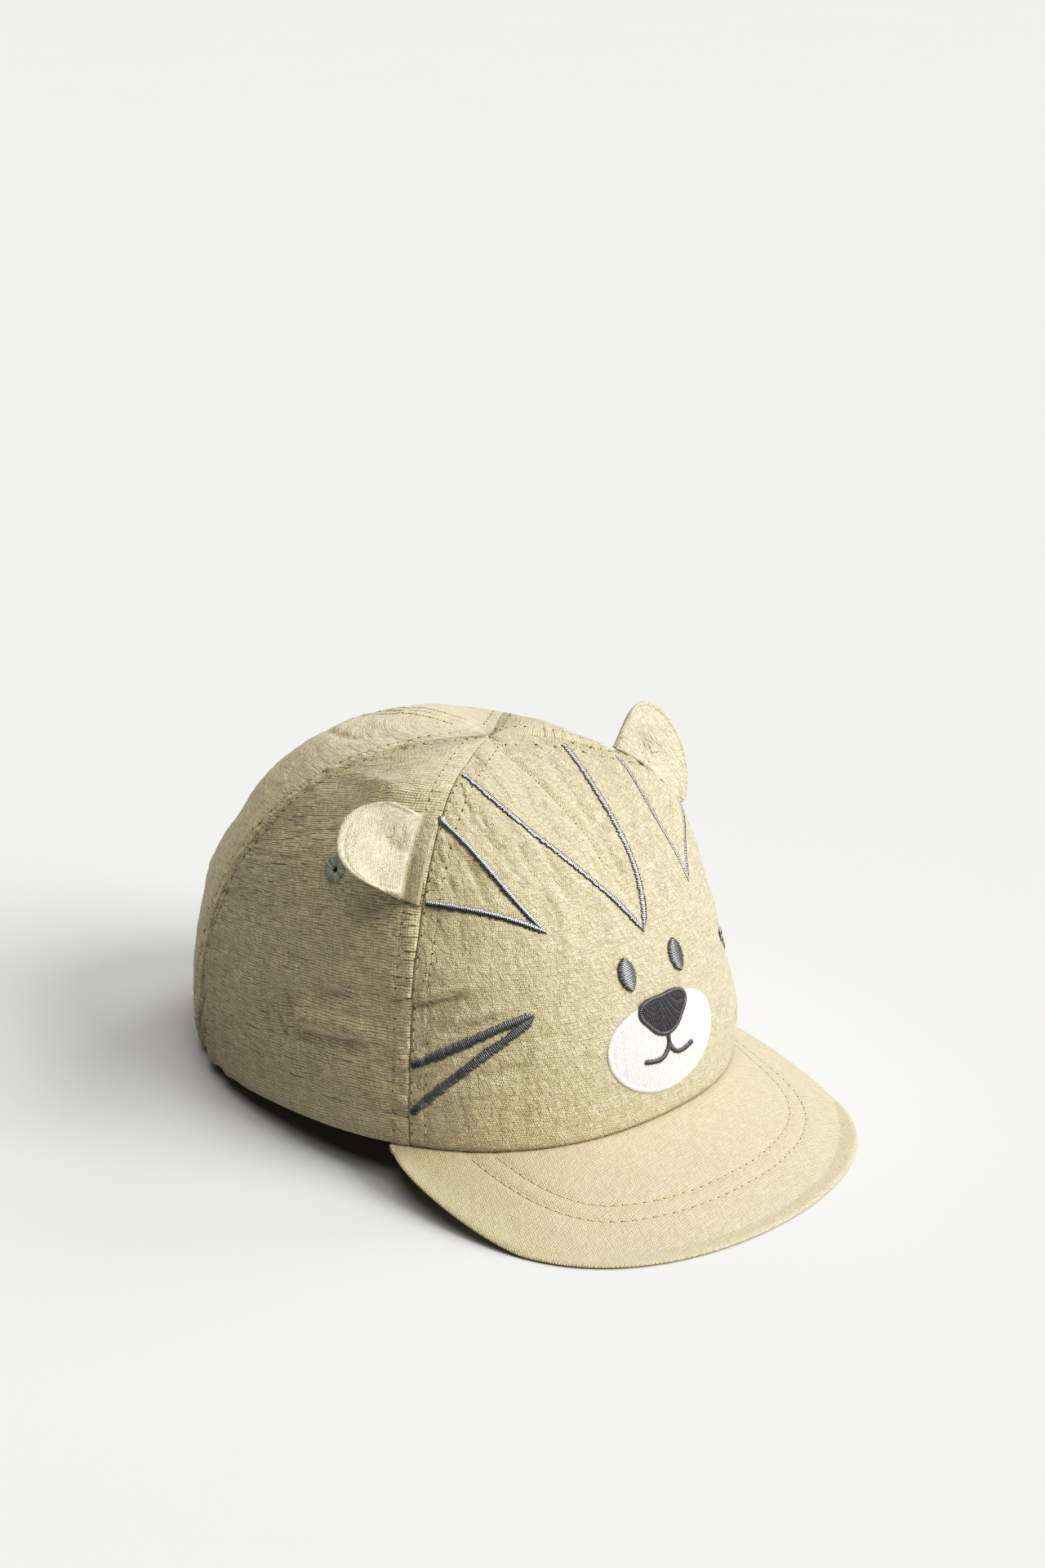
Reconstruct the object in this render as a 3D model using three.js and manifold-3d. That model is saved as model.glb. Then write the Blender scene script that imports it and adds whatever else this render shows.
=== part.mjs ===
// A toddler's peaked cloth cap with round ears and a stitched animal face.
// Millimetres, +Z up. The cap faces -Y and lies on its back hem and the edge of its peak.
import * as THREE from 'three';
import { mergeVertices } from 'three/addons/utils/BufferGeometryUtils.js';
import Module from 'manifold-3d';

// Gap between neighbouring pieces, and the thickness of each kind of cloth wall.
const GAP = 0.3;
const CLOTH = 1.8;
const PEAK_BOARD = 2.6;
const EAR_PAD = 2.6;
const EMBROIDERY = 0.7;

// Crown in its own frame: X across, F forward, Z up from the plane of the rim.
const CROWN = {
  halfWidth: 68.4,
  frontReach: 90.2,
  backReach: 95.3,
  apexForward: 22.4,
  height: 101.7,
  frontSquareness: 1.058,
  backSquareness: 0.974,
  threeLobe: -0.015,
  fourLobe: -0.032,
};

// How the wall climbs from rim to apex along the front, side and back.
const MERIDIANS = {
  front: { flare: 0.104, rise: 0.676, shoulder: 0.459, shoulderHeight: 0.842 },
  side: { flare: -0.065, rise: 0.975, shoulder: 0.444, shoulderHeight: 1.021 },
  back: { flare: 0.06, rise: 0.566, shoulder: 0.649, shoulderHeight: 1.174 },
};

// The crown leans back on its hem by this angle, and the origin is the middle of the footprint.
const LEAN = 5.7;
const HEM_HEIGHT = 8.6;
const ORIGIN_FORWARD = 16.98;

// Seams, as degrees round the rim from the middle of the front.
const FRONT_SEAM = { atRim: 61, atApex: 57, bend: 3 };
const SIDE_SEAM = { atRim: 134, atApex: 103, bend: 1.4 };
const BACK_SEAM = { atRim: 180, atApex: 180, bend: 1 };
const PANEL_TOP = 0.985;
// Folds die out towards the rim and towards the apex.
const SETTLE = { rimEnd: 0.06, apexFrom: 0.85, apexEnd: 0.97 };

// The dart that rounds the front panel: a groove down its middle from the apex.
const DART = { depth: 0.8, halfWidth: 1.6, from: 0.47, fadeLength: 0.08 };

// Elastic gathers round the back hem.
const GATHERS = {
  from: 100,
  fullAt: 145,
  pitch: 9.2,
  wander: 1.1,
  wanderWaves: 7,
  wanderStart: 40,
  depth: 1.4,
  fadeBy: 0.26,
  hemPull: 1.6,
};

// Soft folds and hollows of the crown: place, size along and across, turn and depth in mm.
const FOLDS = [
  { name: 'temple_left', around: -74, up: 0.6, long: 24, wide: 7, turn: 62, depth: 1.6 },
  { name: 'behind_ear_left', around: -92, up: 0.5, long: 22, wide: 9, turn: 60, depth: -1.8 },
  { name: 'cheek_left', around: -52, up: 0.24, long: 20, wide: 4, turn: 80, depth: 1.0 },
  { name: 'jaw_left', around: -44, up: 0.09, long: 22, wide: 5, turn: 62, depth: 0.8 },
  { name: 'temple_right', around: 52, up: 0.42, long: 20, wide: 17, turn: 10, depth: 5.4 },
  { name: 'jaw_right', around: 42, up: 0.06, long: 16, wide: 15, turn: 0, depth: 2.2 },
  { name: 'behind_ear_right', around: 94, up: 0.5, long: 22, wide: 9, turn: -60, depth: -1.6 },
  { name: 'cheek_right', around: 50, up: 0.2, long: 20, wide: 5, turn: -78, depth: 0.9 },
  { name: 'back_sag_left', around: -155, up: 0.42, long: 26, wide: 9, turn: 84, depth: -1.5 },
  { name: 'back_sag_right', around: 150, up: 0.34, long: 26, wide: 9, turn: -80, depth: -1.5 },
];

// Peak outline in the crown's frame, and how it slopes and curls down at the sides.
const PEAK = {
  halfWidth: 69.4,
  cornerForward: 40,
  tipForward: 128,
  roundness: 0.515,
  cornerTuck: 5,
  cornerDrop: 2,
  cornerLength: 9,
  levelForward: 63.6,
  slope: 18.5,
  sideCurl: 7.9,
  underRim: 4,
  edgeThickness: 1.5,
  rimAngle: 65,
  cornerDensity: 1.7,
};

// Ears: how a blade stands off the fold beside the front seam.
const EAR = {
  seamMargin: 0.4,
  foldAngle: 62.5,
  cup: 3.2,
  pleat: 1.6,
  pleatAt: 0.25,
  pleatLength: 0.2,
  pleatWidth: 0.29,
  padding: 4,
  edgeThickness: 1.5,
  stripThickness: 1.0,
};
// The two ears: the stretch of seam that holds each one, how far it stands out, its width and roundness,
// how far its tip is pulled up and how far it leans back.
const EARS = {
  left: {
    side: -1,
    seamFrom: 0.345,
    seamTo: 0.55,
    reach: 21,
    halfWidth: 12.8,
    skew: -1,
    lean: 42,
    sideRound: 0.8,
    tipRound: 0.85,
    cornerAngle: 20,
  },
  right: {
    side: 1,
    seamFrom: 0.305,
    seamTo: 0.54,
    reach: 21,
    halfWidth: 17.2,
    skew: 3.2,
    lean: 24.5,
    sideRound: 1,
    tipRound: 0.7,
    cornerAngle: 6,
  },
};

// Eyelets in the side panels.
const EYELET = { around: 84.2, up: 0.353, outerRadius: 3.9, holeRadius: 1.3, height: 0.8, clearance: 0.45 };
const EYELET_SIDES = { hole: 12, ring: 16 };

// Embroidered fields of the face: centre and half sizes in mm on the front panel.
const EYE = { around: 10.2, up: 0.256, halfWidth: 2.9, halfHeight: 4.5, density: 6 };
const NOSE = { around: 0, up: 0.169, halfWidth: 9.4, halfHeight: 5.7, triangle: 0.14, density: 8 };
const MUZZLE = { around: 0, up: 0.117, halfWidth: 21.2, halfHeight: 13.4, density: 12 };

// Mesh density: columns round the rim and rows from rim to apex.
const FRONT_GRID = { columns: 26, rows: 15 };
const SIDE_GRID = { columns: 16, rows: 14 };
const BACK_GRID = { columns: 36, rows: 13 };
const PEAK_GRID = { columns: 34, rows: 7 };
const EAR_GRID = { columns: 12, rows: 7 };
// Steps that the crown's tangents are measured over, and halvings in a search along it.
const STEP = { degrees: 0.1, up: 0.002 };
const HALVINGS = 30;

const COLOURS = {
  cloth: 0xd6c9a2,
  peakCloth: 0xe0d2ae,
  earCloth: 0xefe5c6,
  charcoal: 0x504d50,
  white: 0xfbf9f3,
  eyeletThread: 0x8b9488,
};

const radians = THREE.MathUtils.degToRad;
const mix = THREE.MathUtils.lerp;
const smooth = THREE.MathUtils.smoothstep;
const signedPower = (value, power) => Math.sign(value) * Math.max(Math.abs(value), 1e-9) ** power;

// Plan of the rim at one angle: its point, before the wall draws in.
function rimPlan(angle) {
  const front = Math.cos(angle) > 0;
  const power = front ? CROWN.frontSquareness : CROWN.backSquareness;
  const reach = front ? CROWN.frontReach : CROWN.backReach;
  const lobes = 1 + CROWN.threeLobe * Math.cos(3 * angle) + CROWN.fourLobe * Math.cos(4 * angle);
  return {
    across: CROWN.halfWidth * signedPower(Math.sin(angle), power) * lobes,
    forward: reach * signedPower(Math.cos(angle), power) * lobes,
  };
}

// One meridian value blended from the front, side and back rows.
function meridian(name, angle) {
  const front = Math.max(Math.cos(angle), 0) ** 2;
  const back = Math.max(-Math.cos(angle), 0) ** 2;
  const side = 1 - front - back;
  return MERIDIANS.front[name] * front + MERIDIANS.side[name] * side + MERIDIANS.back[name] * back;
}

// Smooth crown surface: angle round the rim in degrees, up from 0 at the rim to 1 at the apex.
function smoothCrown(around, up) {
  const angle = radians(around);
  const plan = rimPlan(angle);
  const down = 1 - up;
  const spread = down ** 3 + 3 * up * down ** 2 * (1 + meridian('flare', angle))
    + 3 * up ** 2 * down * meridian('shoulder', angle);
  const climb = 3 * up * down ** 2 * meridian('rise', angle)
    + 3 * up ** 2 * down * meridian('shoulderHeight', angle) + up ** 3;
  return new THREE.Vector3(
    plan.across * spread,
    mix(CROWN.apexForward, plan.forward, spread),
    CROWN.height * climb,
  );
}

// Outward normal and the two tangents, in mm per degree and mm per unit of height.
function crownFrame(around, up) {
  const low = Math.min(up, 1 - 2 * STEP.up);
  const round = smoothCrown(around + STEP.degrees, low).sub(smoothCrown(around - STEP.degrees, low));
  const rise = smoothCrown(around, low + STEP.up).sub(smoothCrown(around, low - STEP.up));
  const normal = new THREE.Vector3().crossVectors(rise, round).normalize();
  const perDegree = round.divideScalar(2 * STEP.degrees);
  const perUp = rise.divideScalar(2 * STEP.up);
  return { normal, perDegree, perUp };
}

// Angle of the point on the front of the crown that lies a given distance across, by bisection.
function frontAngle(across, up) {
  let [low, high] = [-90, 90];
  for (let pass = 0; pass < HALVINGS; pass += 1) {
    const middle = (low + high) / 2;
    if (smoothCrown(middle, up).x < across) low = middle;
    else high = middle;
  }
  return (low + high) / 2;
}

// Height of one fold at a place on the crown, measured along and across the fold in mm.
function foldHeight(fold, around, up) {
  const frame = crownFrame(fold.around, fold.up);
  const sideways = (around - fold.around) * frame.perDegree.length();
  const upward = (up - fold.up) * frame.perUp.length();
  const turn = radians(fold.turn);
  const along = upward * Math.cos(turn) + sideways * Math.sin(turn);
  const across = sideways * Math.cos(turn) - upward * Math.sin(turn);
  return fold.depth * Math.exp(-((along / fold.long) ** 2) - (across / fold.wide) ** 2);
}

// Gathers of the elastic hem: ripples that fade up the wall, and a pull inwards at the hem.
function gatherHeight(around, up) {
  const strength = smooth(Math.abs(around), GATHERS.from, GATHERS.fullAt);
  const fade = 1 - smooth(up, 0, GATHERS.fadeBy);
  const wander = GATHERS.wander * Math.sin(radians(GATHERS.wanderWaves * around + GATHERS.wanderStart));
  const ripple = Math.cos(2 * Math.PI * (180 - Math.abs(around)) / GATHERS.pitch + wander);
  return strength * fade * (GATHERS.depth * ripple - GATHERS.hemPull * (1 - up / GATHERS.fadeBy) ** 2);
}

// The groove of the front dart.
function dartHeight(around, up) {
  const offset = Math.abs(around) < 90 ? smoothCrown(around, up).x : CROWN.halfWidth;
  const fade = smooth(up, DART.from, DART.from + DART.fadeLength);
  return -DART.depth * fade * Math.exp(-((offset / DART.halfWidth) ** 2));
}

// Cloth surface of the crown with its folds; depth is measured in from the outer face.
function crownCloth(around, up, depth) {
  const folds = FOLDS.reduce((sum, fold) => sum + foldHeight(fold, around, up), 0);
  const settle = smooth(up, 0, SETTLE.rimEnd) * (1 - smooth(up, SETTLE.apexFrom, SETTLE.apexEnd));
  const relief = folds * settle + gatherHeight(around, up) + dartHeight(around, up);
  const { normal } = crownFrame(around, up);
  const point = smoothCrown(around, up).addScaledVector(normal, relief - depth);
  if (up === 0) point.z = 0;
  return point;
}

// From the crown's frame to the object's: leant back, stood on the floor, facing -Y.
function place(point) {
  const lean = radians(LEAN);
  const forward = point.y * Math.cos(lean) - point.z * Math.sin(lean);
  const height = point.y * Math.sin(lean) + point.z * Math.cos(lean) + HEM_HEIGHT;
  return new THREE.Vector3(point.x, ORIGIN_FORWARD - forward, Math.max(height, 0));
}

const seamAngle = (seam, up) => mix(seam.atApex, seam.atRim, (1 - up) ** seam.bend);

// A closed body between two grids of points with the same rows and columns.
function shell(outer, inner) {
  const rows = outer.length;
  const columns = outer[0].length;
  const points = [...outer.flat(), ...inner.flat()].map(place);
  const at = (row, column, side) => side * rows * columns + row * columns + column;
  const index = [];
  const quad = (a, b, c, d) => index.push(a, b, c, a, c, d);
  for (let row = 0; row < rows - 1; row += 1) {
    for (let column = 0; column < columns - 1; column += 1) {
      quad(at(row, column, 0), at(row, column + 1, 0), at(row + 1, column + 1, 0), at(row + 1, column, 0));
      quad(at(row, column, 1), at(row + 1, column, 1), at(row + 1, column + 1, 1), at(row, column + 1, 1));
    }
  }
  for (let column = 0; column < columns - 1; column += 1) {
    const last = rows - 1;
    quad(at(0, column, 0), at(0, column, 1), at(0, column + 1, 1), at(0, column + 1, 0));
    quad(at(last, column, 0), at(last, column + 1, 0), at(last, column + 1, 1), at(last, column, 1));
  }
  for (let row = 0; row < rows - 1; row += 1) {
    const last = columns - 1;
    quad(at(row, 0, 0), at(row + 1, 0, 0), at(row + 1, 0, 1), at(row, 0, 1));
    quad(at(row, last, 0), at(row, last, 1), at(row + 1, last, 1), at(row + 1, last, 0));
  }
  return facingOut(points, index);
}

// Geometry from points and triangles, turned so that its faces point out.
function facingOut(points, index) {
  let volume = 0;
  for (let i = 0; i < index.length; i += 3) {
    const [a, b, c] = [points[index[i]], points[index[i + 1]], points[index[i + 2]]];
    volume += a.dot(new THREE.Vector3().crossVectors(b, c));
  }
  if (volume < 0) index.reverse();
  const geometry = new THREE.BufferGeometry().setFromPoints(points);
  geometry.setIndex(index);
  geometry.computeVertexNormals();
  return geometry;
}

const grid = (rows, columns, pointAt) => Array.from({ length: rows + 1 }, (_, row) => (
  Array.from({ length: columns + 1 }, (__, column) => pointAt(row / rows, column / columns))
));

// A crown panel between two seam lines, with half a gap left along each seam.
function panelShell(leftAngle, rightAngle, { rows, columns }) {
  const pointAt = (depth) => (rowShare, columnShare) => {
    const up = PANEL_TOP * rowShare;
    const halfGap = GAP / 2 / crownFrame(leftAngle(up), up).perDegree.length();
    const around = mix(leftAngle(up) + halfGap, rightAngle(up) - halfGap, columnShare);
    return crownCloth(around, up, depth);
  };
  return shell(grid(rows, columns, pointAt(0)), grid(rows, columns, pointAt(CLOTH)));
}

function frontPanel() {
  return panelShell((up) => -seamAngle(FRONT_SEAM, up), (up) => seamAngle(FRONT_SEAM, up), FRONT_GRID);
}

// Panels of the left half run the other way round from those of the right half.
function pairedPanel(side, nearSeam, farSeam, density) {
  const near = (up) => side * seamAngle(nearSeam, up);
  const far = (up) => side * seamAngle(farSeam, up);
  return side > 0 ? panelShell(near, far, density) : panelShell(far, near, density);
}

// Place and directions of an eyelet on its side panel, in the object's frame.
function eyeletSeat(side) {
  const centre = place(crownCloth(side * EYELET.around, EYELET.up, 0));
  const above = crownCloth(side * EYELET.around, EYELET.up, -1);
  return { centre, outward: place(above).sub(centre).normalize() };
}

const turnFromY = (direction) => new THREE.Quaternion().setFromUnitVectors(
  new THREE.Vector3(0, 1, 0),
  direction,
);

const wasm = await Module();
wasm.setup();

function toSolid(geometry) {
  const bare = geometry.clone();
  bare.deleteAttribute('normal');
  bare.deleteAttribute('uv');
  const merged = mergeVertices(bare, 1e-5);
  return new wasm.Manifold(new wasm.Mesh({
    numProp: 3,
    vertProperties: new Float32Array(merged.attributes.position.array),
    triVerts: new Uint32Array(merged.index.array),
  }));
}

function fromSolid(solid) {
  const mesh = solid.getMesh();
  const geometry = new THREE.BufferGeometry();
  geometry.setAttribute('position', new THREE.BufferAttribute(mesh.vertProperties, 3));
  geometry.setIndex(new THREE.BufferAttribute(mesh.triVerts, 1));
  geometry.computeVertexNormals();
  return geometry;
}

// A side panel with its eyelet hole cut through.
function sidePanel(side) {
  const cloth = pairedPanel(side, FRONT_SEAM, SIDE_SEAM, SIDE_GRID);
  const seat = eyeletSeat(side);
  const { holeRadius } = EYELET;
  const punch = new THREE.CylinderGeometry(holeRadius, holeRadius, 6 * CLOTH, EYELET_SIDES.hole);
  punch.applyQuaternion(turnFromY(seat.outward));
  punch.translate(seat.centre.x, seat.centre.y, seat.centre.z);
  return fromSolid(toSolid(cloth).subtract(toSolid(punch)));
}

// A thread ring round the eyelet hole: a low lathed washer with a round top.
function eyeletRing() {
  const { outerRadius, holeRadius, height } = EYELET;
  const middle = (outerRadius + holeRadius) / 2;
  const profile = [
    [holeRadius, 0], [outerRadius, 0], [outerRadius, height / 2],
    [middle, height], [holeRadius, height / 2], [holeRadius, 0],
  ];
  const section = profile.map(([radius, y]) => new THREE.Vector2(radius, y));
  return new THREE.LatheGeometry(section, EYELET_SIDES.ring);
}

// Outer edge of the peak at a bearing from -90 to 90 degrees, in the crown's frame.
function peakEdge(bearing) {
  const angle = radians(bearing);
  const reach = Math.max(Math.cos(angle), 0) ** PEAK.roundness;
  const forward = mix(PEAK.cornerForward, PEAK.tipForward, reach);
  const corner = Math.exp((PEAK.cornerForward - forward) / PEAK.cornerLength);
  const across = (PEAK.halfWidth - PEAK.cornerTuck * corner) * Math.sin(angle);
  const fall = Math.tan(radians(PEAK.slope)) * (forward - PEAK.levelForward);
  const curl = PEAK.sideCurl * (across / CROWN.halfWidth) ** 2;
  return new THREE.Vector3(across, forward, -fall - curl - PEAK.cornerDrop * corner);
}

// Bearings are closer together at the corners of the peak, where its edge turns sharply.
function peakBearing(columnShare) {
  const side = 2 * columnShare - 1;
  return 90 * Math.sign(side) * (1 - (1 - Math.abs(side)) ** PEAK.cornerDensity);
}

// The peak from its root, which runs on under the rim, to its outer edge.
function peakSurface(rowShare, columnShare, depth) {
  const bearing = peakBearing(columnShare);
  const rim = smoothCrown(bearing / 90 * PEAK.rimAngle, 0);
  const inwards = new THREE.Vector3(-rim.x, CROWN.apexForward - rim.y, 0).normalize();
  const root = rim.clone().addScaledVector(inwards, -GAP);
  root.z = -GAP;
  if (rowShare === 0) root.addScaledVector(inwards, PEAK.underRim);
  const outward = Math.max(rowShare * PEAK_GRID.rows - 1, 0) / (PEAK_GRID.rows - 1);
  const point = root.lerp(peakEdge(bearing), outward);
  const thickness = outward === 1 ? PEAK.edgeThickness : PEAK_BOARD;
  point.z -= depth * thickness;
  return point;
}

// The underside is kept on the floor where the edge of the peak rests on it.
function peak() {
  const { rows, columns } = PEAK_GRID;
  const floorAt = (point) => -HEM_HEIGHT / Math.cos(radians(LEAN)) - point.y * Math.tan(radians(LEAN));
  const top = grid(rows, columns, (row, column) => {
    const point = peakSurface(row, column, 0);
    point.z = Math.max(point.z, floorAt(point) + PEAK.edgeThickness);
    return point;
  });
  const underside = grid(rows, columns, (row, column) => peakSurface(row, column, 1));
  return shell(top, underside);
}

// Directions of an ear: along its base, out from the cap leaning back, and its front face.
function earAxes(spec) {
  const { side, seamFrom, seamTo } = spec;
  const low = smoothCrown(side * EAR.foldAngle, seamFrom);
  const high = smoothCrown(side * EAR.foldAngle, seamTo);
  const base = high.clone().sub(low).normalize();
  const { normal } = crownFrame(side * EAR.foldAngle, (seamFrom + seamTo) / 2);
  const outward = normal.addScaledVector(base, -normal.dot(base)).normalize();
  const backward = new THREE.Vector3().crossVectors(outward, base).multiplyScalar(side);
  const lean = radians(spec.lean);
  const reach = outward.clone().multiplyScalar(Math.cos(lean)).addScaledVector(backward, Math.sin(lean));
  const face = outward.multiplyScalar(Math.sin(lean)).addScaledVector(backward, -Math.cos(lean));
  return { base, reach, face };
}

// The strip of an ear that is sewn down beside the seam, or its fold line; depth 1 is its underside.
function earStrip(side, around, up, depth) {
  return crownCloth(side * around, up, -GAP - EAR.stripThickness * (1 - depth));
}

// Outer edge of the ear's blade, from its lower corner round the tip to its upper corner.
function earEdge(spec, columnShare) {
  const { base, reach } = earAxes(spec);
  const start = radians(spec.cornerAngle);
  const angle = mix(Math.PI - start, start, columnShare);
  const along = spec.halfWidth * signedPower(Math.cos(angle), spec.sideRound);
  const rise = spec.reach * Math.sin(angle) ** spec.tipRound;
  return earStrip(spec.side, EAR.foldAngle, (spec.seamFrom + spec.seamTo) / 2, 0)
    .addScaledVector(base, along + spec.skew * rise / spec.reach)
    .addScaledVector(reach, rise);
}

// One point of the blade, from the fold line to its edge: cupped, with a pleat at the root.
function earBlade(spec, share, columnShare, depth) {
  const up = mix(spec.seamFrom, spec.seamTo, columnShare);
  if (share === 0) return earStrip(spec.side, EAR.foldAngle, up, depth);
  const point = earStrip(spec.side, EAR.foldAngle, up, 0).lerp(earEdge(spec, columnShare), share);
  const fromMiddle = 2 * columnShare - 1;
  const cup = EAR.cup * (fromMiddle ** 2 - 0.5) * Math.sin(Math.PI * share / 2);
  const inPleat = (fromMiddle / EAR.pleatWidth) ** 2 + ((share - EAR.pleatAt) / EAR.pleatLength) ** 2;
  const pleat = EAR.pleat * Math.exp(-inPleat);
  const thickness = mix(EAR_PAD, EAR.edgeThickness, share ** EAR.padding);
  return point.addScaledVector(earAxes(spec).face, cup - pleat - depth * thickness);
}

function ear(spec) {
  const { rows, columns } = EAR_GRID;
  const surface = (depth) => grid(rows + 1, columns, (rowShare, columnShare) => {
    const up = mix(spec.seamFrom, spec.seamTo, columnShare);
    const row = Math.round(rowShare * (rows + 1));
    if (row > 0) return earBlade(spec, (row - 1) / rows, columnShare, depth);
    return earStrip(spec.side, seamAngle(FRONT_SEAM, up) + EAR.seamMargin, up, depth);
  });
  return shell(surface(0), surface(1));
}

// A square of points drawn out to a disc, then to the field's own outline.
function fieldPoint(field, rowShare, columnShare) {
  const a = 2 * columnShare - 1;
  const b = 2 * rowShare - 1;
  const x = a * Math.sqrt(1 - b * b / 2);
  const y = b * Math.sqrt(1 - a * a / 2);
  const triangle = 1 + (field.triangle ?? 0) * Math.sin(3 * Math.atan2(y, x)) * Math.hypot(x, y);
  return { x: field.halfWidth * x * triangle, y: field.halfHeight * y * triangle };
}

// An embroidered field that lies on the front panel, lifted by the layers under it.
function embroideredField(field, around, lift) {
  const { perUp } = crownFrame(around, field.up);
  const middle = smoothCrown(around, field.up).x;
  const surface = (depth) => grid(field.density, field.density, (row, column) => {
    const { x, y } = fieldPoint(field, row, column);
    const up = field.up + y / perUp.length();
    return crownCloth(frontAngle(middle + x, up), up, depth - lift - EMBROIDERY);
  });
  return shell(surface(0), surface(EMBROIDERY));
}

function clothMaterial(color, roughness = 0.95) {
  return new THREE.MeshStandardMaterial({ color, roughness, metalness: 0 });
}

const cap = new THREE.Group();

function add(name, geometry, material) {
  const mesh = new THREE.Mesh(geometry, material);
  mesh.name = name;
  cap.add(mesh);
  return mesh;
}

function addEyelet(name, side) {
  const seat = eyeletSeat(side);
  const ring = add(name, eyeletRing(), clothMaterial(COLOURS.eyeletThread, 0.7));
  ring.quaternion.copy(turnFromY(seat.outward));
  ring.position.copy(seat.centre).addScaledVector(seat.outward, EYELET.clearance);
}

add('front_panel', frontPanel(), clothMaterial(COLOURS.cloth));
for (const [name, spec] of Object.entries(EARS)) {
  const { side } = spec;
  add(`side_panel_${name}`, sidePanel(side), clothMaterial(COLOURS.cloth));
  const backPanel = pairedPanel(side, SIDE_SEAM, BACK_SEAM, BACK_GRID);
  add(`back_panel_${name}`, backPanel, clothMaterial(COLOURS.cloth));
  add(`ear_${name}`, ear(spec), clothMaterial(COLOURS.earCloth));
  addEyelet(`eyelet_${name}`, side);
  const eye = embroideredField(EYE, side * EYE.around, GAP);
  add(`eye_${name}`, eye, clothMaterial(COLOURS.charcoal, 0.6));
}
add('peak', peak(), clothMaterial(COLOURS.peakCloth));
add('muzzle', embroideredField(MUZZLE, MUZZLE.around, GAP), clothMaterial(COLOURS.white, 0.8));
const noseLift = 2 * GAP + EMBROIDERY;
add('nose', embroideredField(NOSE, NOSE.around, noseLift), clothMaterial(COLOURS.charcoal, 0.6));

export default cap;
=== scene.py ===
"""A toddler's peaked cap with round ears: woven cloth, topstitching and an embroidered animal face."""

import math
from functools import cache
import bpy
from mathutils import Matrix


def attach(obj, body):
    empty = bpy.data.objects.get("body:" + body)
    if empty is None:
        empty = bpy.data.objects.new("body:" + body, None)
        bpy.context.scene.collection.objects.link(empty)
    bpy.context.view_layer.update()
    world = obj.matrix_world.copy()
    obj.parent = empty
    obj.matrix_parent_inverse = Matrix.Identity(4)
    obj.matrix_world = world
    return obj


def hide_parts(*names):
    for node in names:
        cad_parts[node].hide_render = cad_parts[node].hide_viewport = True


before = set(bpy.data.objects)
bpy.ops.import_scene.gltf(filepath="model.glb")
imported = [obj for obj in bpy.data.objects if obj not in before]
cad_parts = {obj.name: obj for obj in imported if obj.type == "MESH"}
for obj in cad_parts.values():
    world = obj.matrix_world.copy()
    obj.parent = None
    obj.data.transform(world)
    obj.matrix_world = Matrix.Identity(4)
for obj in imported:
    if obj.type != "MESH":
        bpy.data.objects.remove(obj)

from types import SimpleNamespace as Sizes

import bpy
import numpy as np
from mathutils import Vector

bl_info = {
    "name": "Toddler's cap with ears",
    "version": (1, 0, 0),
    "blender": (4, 5, 0),
    "location": "View3D > Sidebar > Cap",
    "description": "Builds the cloth panels, peak, ears, topstitching and embroidery of a toddler's cap",
    "category": "Add Mesh",
}

MM = 0.001
BODY = "root"
LEFT, RIGHT = -1, 1
SIDES = (("left", LEFT), ("right", RIGHT))

# The crown's surface, in millimetres: X across, F forward, Z up from the plane of the rim.
CROWN = Sizes(
    half_width=68.4, front_reach=90.2, back_reach=95.3, apex_forward=22.4, height=101.7,
    front_squareness=1.058, back_squareness=0.974, three_lobe=-0.015, four_lobe=-0.032,
)
# How the wall climbs from rim to apex along the front, side and back.
MERIDIANS = {
    "flare": Sizes(front=0.104, side=-0.065, back=0.06),
    "rise": Sizes(front=0.676, side=0.975, back=0.566),
    "shoulder": Sizes(front=0.459, side=0.444, back=0.649),
    "shoulder_height": Sizes(front=0.842, side=1.021, back=1.174),
}
LEAN = 5.7
HEM_HEIGHT = 8.6
ORIGIN_FORWARD = 16.98

# Seams, as degrees round the rim from the middle of the front, and how far off their topstitching lies.
FRONT_SEAM = Sizes(at_rim=61, at_apex=57, bend=3, row=5.0, edge_row=0.75, edge_row_end=0.7)
SIDE_SEAM = Sizes(at_rim=134, at_apex=103, bend=1.4, row=3.4)
BACK_SEAM = Sizes(at_rim=180, at_apex=180, bend=1, row=3.2)
SEAM_GAP = 0.3
PANEL_TOP = 0.998
CLOTH = 1.8

DART = Sizes(
    depth=0.7, half_width=1.2, start=0.45, fade_length=0.1, offset=-0.6, pitch=0.0012, row_start=0.03,
    row_end=0.96)
GATHERS = Sizes(
    start=100, full_at=145, pitch=9.2, wander=1.1, waves=7, phase=40, depth=1.4, fade_by=0.26, hem_pull=1.6
)
# Soft folds and hollows: degrees round, height up, length, width, turn in degrees and depth in mm.
FOLDS = {
    "temple_left": (-74, 0.6, 24, 7, 62, 1.6),
    "behind_ear_left": (-92, 0.5, 22, 9, 60, -1.8),
    "cheek_left": (-52, 0.24, 20, 4, 80, 1.0),
    "jaw_left": (-44, 0.09, 22, 5, 62, 0.8),
    "temple_right": (52, 0.42, 20, 17, 10, 5.4),
    "jaw_right": (42, 0.06, 16, 15, 0, 2.2),
    "behind_ear_right": (94, 0.5, 22, 9, -60, -1.6),
    "cheek_right": (50, 0.2, 20, 5, -78, 0.9),
    "back_sag_left": (-155, 0.42, 26, 9, 84, -1.5),
    "back_sag_right": (150, 0.34, 26, 9, -80, -1.5),
}
SETTLE = Sizes(rim_end=0.06, apex_start=0.85, apex_end=0.97)

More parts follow.
